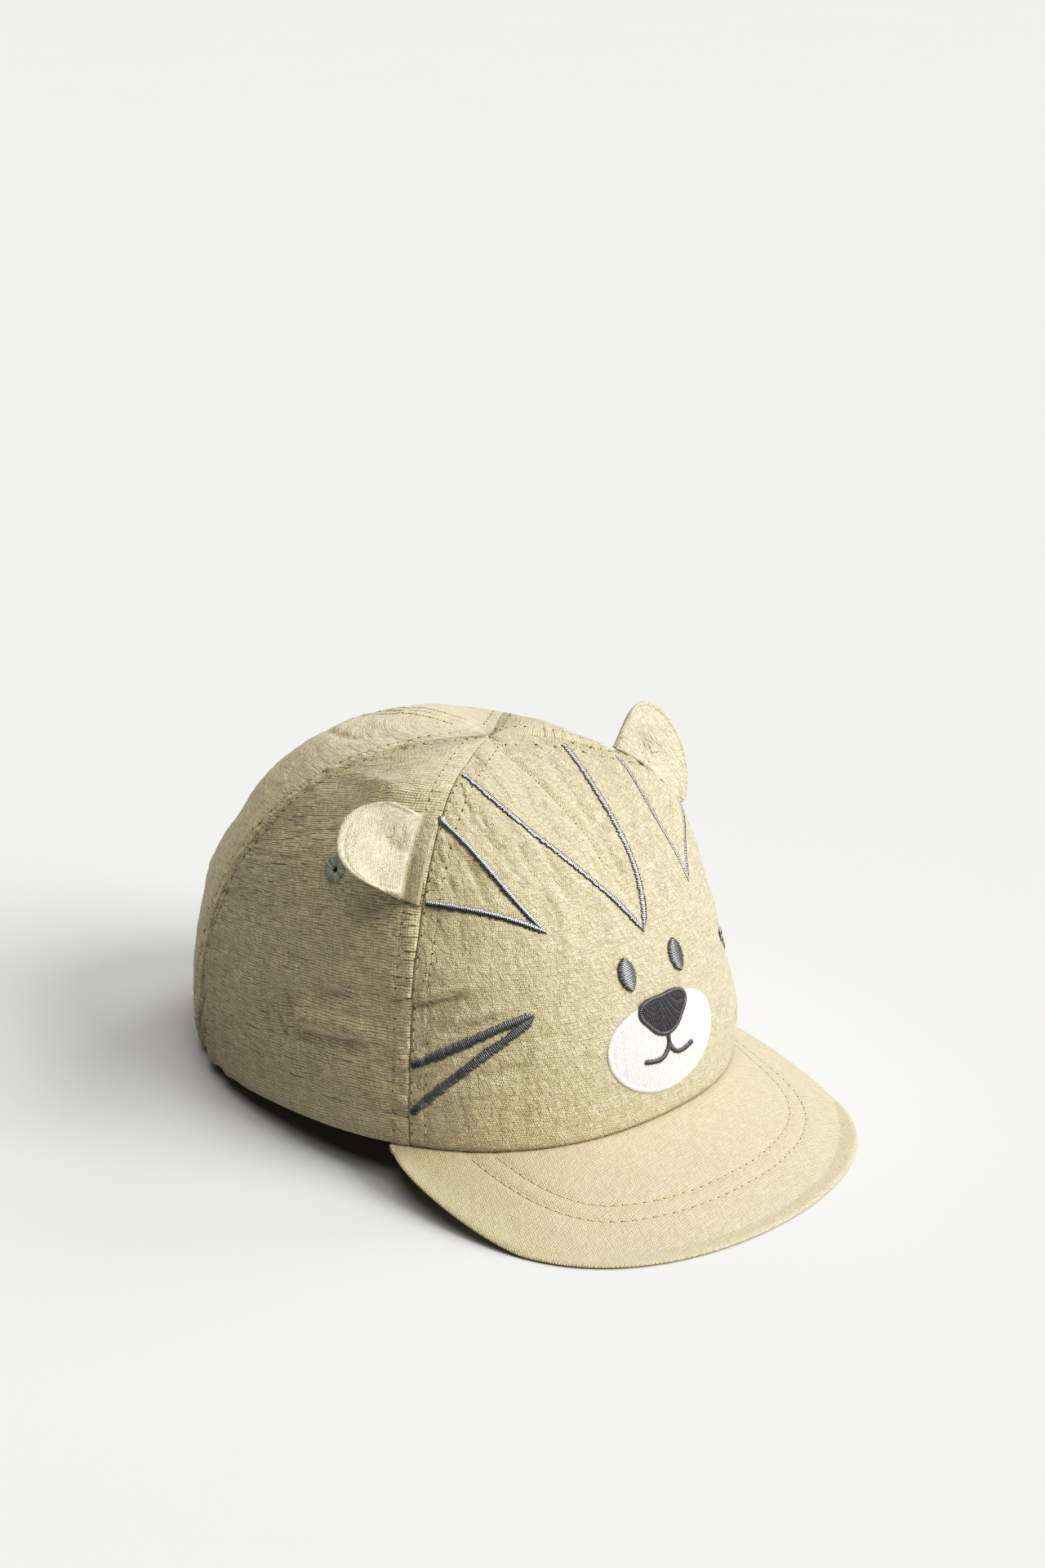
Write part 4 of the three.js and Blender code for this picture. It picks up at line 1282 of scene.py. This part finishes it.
# Where the rows beside a seam start and end, and the height up at which the hem's row is measured.
ROW = Sizes(start=0.01, end=0.93, hem_up=0.04)


def seam_row(panel, seam, side, distance, high=ROW.end):
    """A row of stitches that keeps its distance, in mm and positive outwards, from a seam."""
    up = np.linspace(ROW.start, high, 260)
    angle = side * seam_angle(seam, up)
    around = angle + side * distance / length(crown_frame(angle, up)[1])
    return run_of(on_panel(panel, around, up))


def hem_row(panel, low, high, height):
    """A row of stitches that follows the hem, height mm above it."""
    around = np.linspace(low, high, 160)
    return run_of(on_panel(panel, around, height / length(crown_frame(around, ROW.hem_up)[2])))


# The peak


def peak_edge(bearing):
    angle = np.radians(bearing)
    reach = np.maximum(np.cos(angle), 0) ** PEAK.roundness
    forward = lerp(PEAK.corner_forward, PEAK.tip_forward, reach)
    corner = np.exp((PEAK.corner_forward - forward) / PEAK.corner_length)
    across = (PEAK.half_width - PEAK.corner_tuck * corner) * np.sin(angle)
    fall = math.tan(math.radians(PEAK.slope)) * (forward - PEAK.level_forward)
    curl = PEAK.side_curl * (across / CROWN.half_width) ** 2
    return np.stack([across, forward, -fall - curl - PEAK.corner_drop * corner], axis=-1)


def peak_root(bearing, outset):
    """The peak's root line, outset mm out from the rim."""
    rim = smooth_crown(bearing / 90 * PEAK.rim_angle, 0)
    outwards = unit(np.stack([rim[..., 0], rim[..., 1] - CROWN.apex_forward, np.zeros(len(rim))], axis=-1))
    root = rim + outwards * outset
    root[..., 2] = -SEAM_GAP
    return root


def distance_to_line(points, line):
    """Distance of each point from the nearest place on a chain of straight pieces."""
    nearest = np.full(points.shape[:-1], np.inf)
    for start, end in zip(line[:-1], line[1:]):
        way = end - start
        share = np.clip((points - start) @ way / max(way @ way, 1e-9), 0, 1)
        nearest = np.minimum(nearest, length(points - start - share[..., None] * way))
    return nearest


def build_peak(rows=84, columns=240):
    """The peak's top and underside, and the distance of each point from the edge in mm."""
    side = np.linspace(-1, 1, columns)
    bearing = 90 * np.sign(side) * (1 - (1 - np.abs(side)) ** PEAK.corner_density)
    edge, root = peak_edge(bearing), peak_root(bearing, SEAM_GAP)
    tucked = peak_root(bearing, SEAM_GAP - PEAK.under_rim)
    share = np.sin(np.linspace(0, np.pi / 2, rows - 1)) ** PEAK.edge_density
    middle = np.concatenate([tucked[None], lerp(root[None], edge[None], share[:, None, None])])
    distance = distance_to_line(middle[..., :2], edge[:, :2])
    thickness = lerp(PEAK.edge_thickness, PEAK.board, smooth(distance, 0, PEAK.taper))
    grooves = sum(bell(distance - row, PEAK.groove_width) for row in PEAK.rows)
    cell_x, cell_y = middle[..., 0] / PEAK.swell_size, middle[..., 1] / PEAK.swell_size
    soft = PEAK.swell * cloth_noise(cell_x, cell_y, PEAK.swell_seed)
    top, underside = middle.copy(), middle.copy()
    top[..., 2] += (soft - PEAK.groove * grooves) * smooth(distance, 0, PEAK.calm_edge)
    underside[..., 2] -= thickness
    lean = math.radians(LEAN)
    floor = -HEM_HEIGHT / math.cos(lean) - middle[..., 1] * math.tan(lean)
    underside[..., 2] = np.maximum(underside[..., 2], floor)
    top[..., 2] = np.maximum(top[..., 2], floor + PEAK.edge_thickness)
    fullness = np.sqrt(1 - np.clip(1 - distance / PEAK.edge_round, 0, 1) ** 2)
    half = (top[..., 2] - underside[..., 2]) / 2 * (1 - fullness)
    top[..., 2] -= half
    underside[..., 2] += half
    return Sizes(top=top, underside=underside, distance=distance)


def peak_row(peak, row):
    """A row of stitches that keeps its distance from the peak's edge."""
    points = []
    for column in range(peak.top.shape[1]):
        distance = peak.distance[1:, column][::-1]
        if distance[-1] > row + PEAK.row_margin:
            strip = peak.top[1:, column][::-1]
            points.append([np.interp(row, distance, strip[:, axis]) for axis in range(3)])
    points = np.array(points)
    slope = math.radians(PEAK.slope)
    normal = np.array([0, math.sin(slope), math.cos(slope)])
    return run_of((points + normal * PEAK.row_lift, np.broadcast_to(normal, points.shape)))


# The ears


def ear_axes(spec):
    low = smooth_crown(spec.side * EAR.fold_angle, spec.seam_start)
    high = smooth_crown(spec.side * EAR.fold_angle, spec.seam_end)
    base = unit(high - low)
    normal = crown_frame(spec.side * EAR.fold_angle, (spec.seam_start + spec.seam_end) / 2)[0]
    outward = unit(normal - base * normal.dot(base))
    backward = np.cross(outward, base) * spec.side
    lean = math.radians(spec.lean)
    reach = outward * math.cos(lean) + backward * math.sin(lean)
    return base, reach, outward * math.sin(lean) - backward * math.cos(lean)


def ear_strip(side, around, up, depth):
    return crown_cloth(side * around, up, SEAM_GAP + EAR.strip_thickness * (1 - depth))


def ear_edge(spec, share):
    base, reach, _ = ear_axes(spec)
    start = math.radians(spec.corner_angle)
    angle = lerp(math.pi - start, start, share)
    rise = spec.reach * np.sin(angle) ** spec.tip_round
    along = spec.half_width * signed_power(np.cos(angle), spec.side_round) + spec.skew * rise / spec.reach
    root = ear_strip(spec.side, EAR.fold_angle, (spec.seam_start + spec.seam_end) / 2, 0)
    return root + base * along[:, None] + reach * rise[:, None]


def ear_relief(out, along, spec):
    """The hollow pinched in above the pleat, the pleat's own step, and soft dents of the padding."""
    dents = EAR_DENTS
    beside = dents.pleat_line + dents.pleat_slant * out - along
    step = smooth(beside, -dents.step_half_width, dents.step_half_width) * (1 - smooth(out, *dents.step_fade))
    hollow = bell(out - dents.hollow_out, dents.hollow_length)
    hollow = hollow * bell(along - dents.hollow_along, dents.hollow_width)
    dent = dents.dent * cloth_noise(out * dents.dents, along * dents.dents, dents.dent_seed + spec.side)
    calm = smooth(out, 0, EAR.calm_root) * (1 - smooth(out, dents.tip_fade, 1))
    return dents.pleat_step * step - dents.hollow * hollow + dent * calm


def ear_pinch(out, along):
    """Where the blade's cloth is pinched into fine creases."""
    out_share = bell(out - EAR_CLOTH.pinch_out, EAR_CLOTH.pinch_length)
    return EAR_CLOTH.pinch * out_share * bell(along - EAR_DENTS.hollow_along, EAR_CLOTH.pinch_width)


def build_ear(spec, rows=56, columns=84, strip_rows=8):
    """The ear's front and back faces in the crown's frame, strip first, then the blade from the fold."""
    along = np.linspace(0, 1, columns)
    middle = 2 * along - 1
    up = lerp(spec.seam_start, spec.seam_end, along)
    face = ear_axes(spec)[2]
    fold = ear_strip(spec.side, EAR.fold_angle, up, 0)
    edge = ear_edge(spec, along)
    change = smooth(along, *EAR_CLOTH.change)
    # Painted shade on the strip beside the front seam, where the ear's blade shades it, less on the upper
    # half.
    strip_shade_share = 1 - EAR_CLOTH.pale_share * change
    front, back, strip_shade_rows, crinkle = [], [], [], []
    seam_side = seam_angle(FRONT_SEAM, up) + EAR.seam_margin
    for row in range(strip_rows):
        around = lerp(seam_side, EAR.fold_angle, row / strip_rows)
        sunk = EAR.strip_dip * bell(row / strip_rows - 1, EAR.strip_dip_width)
        front.append(ear_strip(spec.side, around, up, sunk))
        back.append(ear_strip(spec.side, around, up, 1))
        strip_shade_rows.append(strip_shade_share)
        crinkle.append(EAR_CLOTH.strip_crinkle + EAR_CLOTH.pleat_crinkle * change)
    for out in np.sin(np.linspace(0, np.pi / 2, rows)):
        cup = EAR.cup * (middle ** 2 - 0.5) * math.sin(math.pi * out / 2)
        pleat = EAR.pleat * bell(middle, EAR.pleat_width) * bell(out - EAR.pleat_at, EAR.pleat_length)
        thick = lerp(EAR.pad, EAR.edge_thickness, out ** EAR.padding) if out > 0 else EAR.strip_thickness
        rim = np.minimum((1 - out) * spec.reach, np.minimum(along, 1 - along) * EAR.side_slope)
        fullness = np.sqrt(1 - np.clip(1 - rim / EAR.edge_round, 0, 1) ** 2) if out > 0 else np.ones(columns)
        seam = -EAR_SEAM.depth * bell(rim - EAR_SEAM.inset, EAR_SEAM.width) * smooth(out, *EAR_SEAM.fade)
        points = lerp(fold, edge, out)
        centre = (cup - pleat) * smooth(out, 0, 0.15) - thick / 2
        relief = (ear_relief(out, along, spec) + seam) * fullness * smooth(out, 0, EAR.calm_root)
        half = thick / 2 * fullness
        front.append(points + face * (centre + half + relief)[:, None])
        back.append(points + face * (centre - half)[:, None])
        strip_shade_rows.append(strip_shade_share * (out == 0))
        crinkle.append(spec.crinkle + ear_pinch(out, along))
    front, back = np.array(front), np.array(back)
    run = np.cumsum(length(np.diff(front, axis=0, prepend=front[:1])), axis=0)
    wide = np.broadcast_to(middle * spec.half_width, run.shape)
    marks = {"strip_tone": np.array(strip_shade_rows), "crinkle": np.array(crinkle)}
    return front, back, np.stack([wide, run], axis=-1), marks


# Settings that a user would change

COLOUR = dict(subtype="COLOR", size=3, min=0, max=1)
DISTANCE = dict(subtype="DISTANCE", unit="LENGTH", min=0.0001)


class CapCloth(bpy.types.PropertyGroup):
    crown_colour: bpy.props.FloatVectorProperty(
        name="Crown Colour", description="Colour of the crown's cotton", default=(0.80, 0.70, 0.49), **COLOUR)
    peak_colour: bpy.props.FloatVectorProperty(
        name="Peak Colour", description="Colour of the peak's cotton", default=(0.72, 0.62, 0.44), **COLOUR)
    ear_colour: bpy.props.FloatVectorProperty(
        name="Ear Colour", description="Colour of the ears' cotton", default=(0.76, 0.685, 0.52), **COLOUR)


class CapThread(bpy.types.PropertyGroup):
    topstitch_pitch: bpy.props.FloatProperty(
        name="Topstitch Pitch", description="Distance from one topstitch to the next",
        default=0.0030, **DISTANCE)
    topstitch_thread: bpy.props.FloatProperty(
        name="Topstitch Thread", description="Thickness of the topstitching thread",
        default=0.00042, **DISTANCE)
    satin_pitch: bpy.props.FloatProperty(
        name="Satin Pitch", description="Distance between the threads of satin stitch",
        default=0.00056, **DISTANCE)
    satin_thread: bpy.props.FloatProperty(
        name="Satin Thread", description="Thickness of the embroidery thread", default=0.00058, **DISTANCE)
    fill_pitch: bpy.props.FloatProperty(
        name="Fill Pitch", description="Distance between rows of fill stitches", default=0.00046, **DISTANCE)
    fill_length: bpy.props.FloatProperty(
        name="Fill Length", description="Length of one fill stitch", default=0.0032, **DISTANCE)
    charcoal: bpy.props.FloatVectorProperty(
        name="Charcoal", description="Colour of the dark embroidery", default=(0.027, 0.021, 0.030), **COLOUR)
    white: bpy.props.FloatVectorProperty(
        name="White", description="Colour of the muzzle's embroidery", default=(0.86, 0.85, 0.80), **COLOUR)
    eyelet: bpy.props.FloatVectorProperty(
        name="Eyelet Thread", description="Colour of the eyelets' thread",
        default=(0.40, 0.42, 0.34), **COLOUR)
    topstitch: bpy.props.FloatVectorProperty(
        name="Topstitch Colour", description="Colour of the topstitching",
        default=(0.58, 0.50, 0.30), **COLOUR)
    # The needle holes' colour is painted shade.
    hole: bpy.props.FloatVectorProperty(
        name="Needle Hole Shade", description="Colour in the needle holes", default=(0.10, 0.085, 0.045), **COLOUR)


class CapStage(bpy.types.PropertyGroup):
    floor_colour: bpy.props.FloatVectorProperty(
        name="Floor Colour", description="Colour of the pale floor", default=(0.69, 0.69, 0.68), **COLOUR)
    key_strength: bpy.props.FloatProperty(
        name="Key Strength", description="Strength of the soft light from the right", default=3.15, min=0)
    top_strength: bpy.props.FloatProperty(
        name="Top Strength", description="Strength of the soft light from overhead", default=1.5, min=0)
    back_strength: bpy.props.FloatProperty(
        name="Back Strength", description="Strength of the faint light from behind", default=0.42, min=0)
    rim_strength: bpy.props.FloatProperty(
        name="Rim Strength", description="Strength of the small light that glints on the thread",
        default=0.8, min=0)
    sky_strength: bpy.props.FloatProperty(
        name="Sky Strength", description="Strength of the light from all round", default=0.02, min=0)
    backdrop: bpy.props.FloatProperty(
        name="Backdrop", description="How pale the picture is above the floor's far edge", default=0.9, min=0)


# Operators


class CAP_OT_panels(bpy.types.Operator):
    """Builds the five cloth panels of the crown, with their seams, creases and gathers"""

    bl_idname = "cap.panels"
    bl_label = "Crown Panels"

    def execute(self, context):
        for name in PANELS:
            panel = built_panel(name)
            mesh = shell_mesh(
                f"{name}_cloth", place(panel.outer), place(panel.inner), panel.place_mm, panel.hole,
                {"crinkle": panel.crinkle})
            material = dyed_cloth(PANEL_CLOTH[panel_kind(name)].material)
            finish_piece(new_object(f"{name}_cloth", mesh), material, "crown_cloth", name)
        return {"FINISHED"}


class CAP_OT_peak(bpy.types.Operator):
    """Builds the peak with its two rows of topstitching"""

    bl_idname = "cap.peak"
    bl_label = "Peak"

    def execute(self, context):
        peak = build_peak()
        mesh = shell_mesh("peak_cloth", place(peak.top), place(peak.underside), peak.top[..., :2])
        finish_piece(new_object("peak_cloth", mesh), dyed_cloth("peak cloth"), "peak_cloth", "peak")
        topstitch("peak_topstitch", [peak_row(peak, row) for row in PEAK.rows], seed=5, hole=1.1)
        return {"FINISHED"}


class CAP_OT_ears(bpy.types.Operator):
    """Builds the two padded ears"""

    bl_idname = "cap.ears"
    bl_label = "Ears"

    def execute(self, context):
        for label, side in SIDES:
            front, back, place_mm, marks = build_ear(EARS[side])
            name = f"ear_{label}_padded"
            made = new_object(name, shell_mesh(name, place(front), place(back), place_mm, marks=marks))
            finish_piece(made, dyed_cloth("ear cloth"), "ear_cloth", f"ear_{label}")
        return {"FINISHED"}


class CAP_OT_eyelets(bpy.types.Operator):
    """Stitches a ring of thread round each eyelet"""

    bl_idname = "cap.eyelets"
    bl_label = "Eyelets"

    def execute(self, context):
        middle = (EYELET.outer_radius + EYELET.hole_radius) / 2
        _, per_degree, per_up = crown_frame(EYELET.around, EYELET.up)
        turn = np.linspace(0, 2 * np.pi, 40, endpoint=False)
        around = EYELET.around + middle * np.cos(turn) / length(per_degree)
        up = EYELET.up + middle * np.sin(turn) / length(per_up)
        for label, side in SIDES:
            circle = on_panel(f"side_panel_{label}", side * around, up, EYELET.thread_lift)
            run = run_of(circle, middle - EYELET.hole_radius + EYELET.thread_overlap, closed=True)
            satin(
                f"eyelet_{label}_thread", [run], "eyelet thread", "eyelet_thread", f"eyelet_{label}",
                rise=0.7, raggedness=0.14, seed=9, pitch=0.7)
        return {"FINISHED"}


class CAP_OT_face(bpy.types.Operator):
    """Embroiders the eyes, the nose, the white muzzle and the mouth"""

    bl_idname = "cap.face"
    bl_label = "Face"

    def execute(self, context):
        pitch = context.scene.cap_thread.fill_pitch / MM
        white, dark = ("white satin thread", "white_thread"), ("charcoal fill thread", "charcoal_thread")
        field_ground("muzzle_ground", MUZZLE, *white, "muzzle", lift=0.1, thickness=0.4, density=49)
        filled("muzzle_fill", fill_rows(MUZZLE, pitch, lift=0.42, inset=0.9), *white)
        border = outline_run(MUZZLE, lift=0.25, inset=0.75, half_width=0.75)
        satin("muzzle_border", [border], *white, rise=0.5, raggedness=0.04)
        field_ground("nose_ground", NOSE, *dark, "nose", lift=0.6, thickness=0.4, density=33)
        filled("nose_fill", fill_rows(NOSE, pitch, lift=0.95, inset=0.8), *dark)
        border = outline_run(NOSE, lift=0.75, inset=0.5, half_width=0.6)
        satin("nose_border", [border], *dark, rise=0.75, seed=6)
        satin("mouth", mouth_runs(), *dark, raggedness=0.22, seed=7)
        for label, side in SIDES:
            satin(
                f"eye_{label}_satin", [eye_run(side)], "charcoal eye thread", "charcoal_thread",
                f"eye_{label}", rise=1.0, raggedness=0.07, seed=8 + side, pitch=0.8)
        return {"FINISHED"}


class CAP_OT_stripes(bpy.types.Operator):
    """Embroiders the brow and temple stripes and the whiskers in satin stitch"""

    bl_idname = "cap.stripes"
    bl_label = "Stripes and Whiskers"

    def execute(self, context):
        for seed, (name, stripe) in enumerate(STRIPES.items()):
            runs = [stripe_run(arm, stripe.half_width) for arm in stripe.arms]
            thread = "charcoal eye thread" if name == "whiskers" else "charcoal satin thread"
            satin(
                name, runs, thread, "charcoal_thread", rise=stripe.rise, raggedness=stripe.raggedness,
                seed=20 + seed)
        return {"FINISHED"}


class CAP_OT_topstitching(bpy.types.Operator):
    """Sews the topstitching beside each seam, along the elastic's channel and at the root of each ear"""

    bl_idname = "cap.topstitching"
    bl_label = "Topstitching"

    def execute(self, context):
        back_runs = []
        for seed, (label, side) in enumerate(SIDES):
            side_panel, back_panel = f"side_panel_{label}", f"back_panel_{label}"
            topstitch(f"front_seam_topstitch_{label}", [
                seam_row("front_panel", FRONT_SEAM, side, -FRONT_SEAM.row),
                seam_row(side_panel, FRONT_SEAM, side, FRONT_SEAM.row),
                seam_row("front_panel", FRONT_SEAM, side, -FRONT_SEAM.edge_row, FRONT_SEAM.edge_row_end),
            ], seed=30 + seed)
            topstitch(f"side_seam_topstitch_{label}", [
                seam_row(side_panel, SIDE_SEAM, side, -SIDE_SEAM.row),
                seam_row(back_panel, SIDE_SEAM, side, SIDE_SEAM.row),
            ], seed=40 + seed)
            back_runs.append(seam_row(back_panel, BACK_SEAM, side, -BACK_SEAM.row))
            back_runs.append(hem_row(back_panel, *(side * end for end in HEM.casing_row), HEM.casing))
        topstitch("back_topstitch", back_runs, seed=50)
        up = np.linspace(DART.start + DART.row_start, DART.row_end, 200)
        dart = run_of(on_panel("front_panel", front_angle(DART.offset, up), up))
        topstitch("dart_topstitch", [dart], seed=51, pitch=DART.pitch, hole=1.0)
        return {"FINISHED"}


CAMERA = Sizes(
    place=(-0.4658, -0.4839, 0.3490), direction=(0.6559, 0.6689, -0.3499), lens=56.67, long_side=36,
    near=0.05, far=60)
# Where each soft light stands, in degrees round from +X and up from the floor, and how wide it is.
LIGHTS = {
    "key": Sizes(azimuth=-68, height=32, spread=36),
    "top": Sizes(azimuth=-110, height=78, spread=50),
    "back": Sizes(azimuth=75, height=55, spread=40),
    "rim": Sizes(azimuth=-14, height=38, spread=30),
}
# Half the floor's side in metres, how far under the cap it lies in mm, and how little its colour varies.
FLOOR = Sizes(half_side=20, drop=0.1, mottling=0.005)
# The picture's tones are deepened a little below the middle.
TONE_CURVE = ((0.06, 0.035), (0.17, 0.11), (0.3, 0.245), (0.43, 0.42), (0.65, 0.66))


class CAP_OT_stage(bpy.types.Operator):
    """Lays the pale floor, sets the soft lights and stands the camera where the photograph was taken"""

    bl_idname = "cap.stage"
    bl_label = "Stage"

    def execute(self, context):
        settings = context.scene.cap_stage
        side, low = FLOOR.half_side, -FLOOR.drop * MM
        mesh = bpy.data.meshes.new("floor")
        corners = [(-side, -side, low), (side, -side, low), (side, side, low), (-side, side, low)]
        mesh.from_pydata(corners, [], [(0, 1, 2, 3)])
        floor = new_object("floor", mesh)
        mesh.materials.append(floor_material(settings.floor_colour))
        floor.visible_glossy = False
        for name, aim in LIGHTS.items():
            self.add_sun(f"{name} light", getattr(settings, f"{name}_strength"), aim)
        world = bpy.data.worlds.new("soft studio")
        world.use_nodes = True
        sky = world.node_tree.nodes["Background"]
        sky.inputs["Color"].default_value = (1, 1, 1, 1)
        graph = Graph(world.node_tree)
        seen = graph.add("ShaderNodeLightPath").outputs["Is Camera Ray"]
        strength = graph.remapped(seen, 0, 1, settings.sky_strength, settings.backdrop)
        graph.feed(sky.inputs["Strength"], strength)
        context.scene.world = world
        view = context.scene.view_settings
        view.view_transform, view.use_curve_mapping = "Standard", True
        for tone in TONE_CURVE:
            view.curve_mapping.curves[3].points.new(*tone)
        view.curve_mapping.update()
        self.add_camera(context)
        return {"FINISHED"}

    def add_sun(self, name, strength, aim):
        light = bpy.data.lights.new(name, "SUN")
        light.energy, light.angle = strength, math.radians(aim.spread)
        lamp = new_object(name, light)
        azimuth, height = math.radians(aim.azimuth), math.radians(aim.height)
        level = math.cos(height)
        to_light = Vector((math.cos(azimuth) * level, math.sin(azimuth) * level, math.sin(height)))
        lamp.rotation_mode = "QUATERNION"
        lamp.rotation_quaternion = to_light.to_track_quat("Z", "Y")

    def add_camera(self, context):
        data = bpy.data.cameras.new("camera")
        data.lens, data.sensor_width, data.sensor_fit = CAMERA.lens, CAMERA.long_side, "AUTO"
        data.clip_start, data.clip_end = CAMERA.near, CAMERA.far
        camera = new_object("camera", data)
        camera.location = CAMERA.place
        camera.rotation_mode = "QUATERNION"
        camera.rotation_quaternion = Vector(CAMERA.direction).to_track_quat("-Z", "Y")
        context.scene.camera = camera


def floor_material(colour):
    """Pale matt floor with the faintest mottling."""
    material = plain_material("pale floor", colour, 0.9)
    graph = Graph(material.node_tree)
    mottle = graph.noise(graph.add("ShaderNodeTexCoord").outputs["Object"], 3.0, 2.0)[0]
    low, high = tinted(colour, [1 - FLOOR.mottling] * 3), tinted(colour, [1 + FLOOR.mottling] * 3)
    graph.feed(principled(material).inputs["Base Color"], graph.mixed(mottle, low, high))
    principled(material).inputs["Specular IOR Level"].default_value = 0.1
    return material


class CAP_PT_sidebar(bpy.types.Panel):
    """Lists the cap's pieces in the 3D view's sidebar"""

    bl_idname = "CAP_PT_sidebar"
    bl_label = "Toddler's Cap"
    bl_space_type = "VIEW_3D"
    bl_region_type = "UI"
    bl_category = "Cap"

    def draw(self, context):
        for group in (context.scene.cap_cloth, context.scene.cap_thread, context.scene.cap_stage):
            box = self.layout.box()
            for name in group.__annotations__:
                box.prop(group, name)
        for operator in OPERATORS:
            self.layout.operator(operator.bl_idname)


OPERATORS = (
    CAP_OT_stage, CAP_OT_panels, CAP_OT_peak, CAP_OT_ears, CAP_OT_eyelets, CAP_OT_face, CAP_OT_stripes,
    CAP_OT_topstitching,
)
CLASSES = (CapCloth, CapThread, CapStage, *OPERATORS, CAP_PT_sidebar)


def register():
    for cls in CLASSES:
        bpy.utils.register_class(cls)
    bpy.types.Scene.cap_cloth = bpy.props.PointerProperty(type=CapCloth)
    bpy.types.Scene.cap_thread = bpy.props.PointerProperty(type=CapThread)
    bpy.types.Scene.cap_stage = bpy.props.PointerProperty(type=CapStage)


def unregister():
    del bpy.types.Scene.cap_cloth, bpy.types.Scene.cap_thread, bpy.types.Scene.cap_stage
    for cls in reversed(CLASSES):
        bpy.utils.unregister_class(cls)


def main():
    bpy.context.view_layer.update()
    register()
    bpy.ops.cap.stage()
    bpy.ops.cap.panels()
    bpy.ops.cap.peak()
    bpy.ops.cap.ears()
    bpy.ops.cap.eyelets()
    bpy.ops.cap.face()
    bpy.ops.cap.stripes()
    bpy.ops.cap.topstitching()


if __name__ == "__main__":
    main()
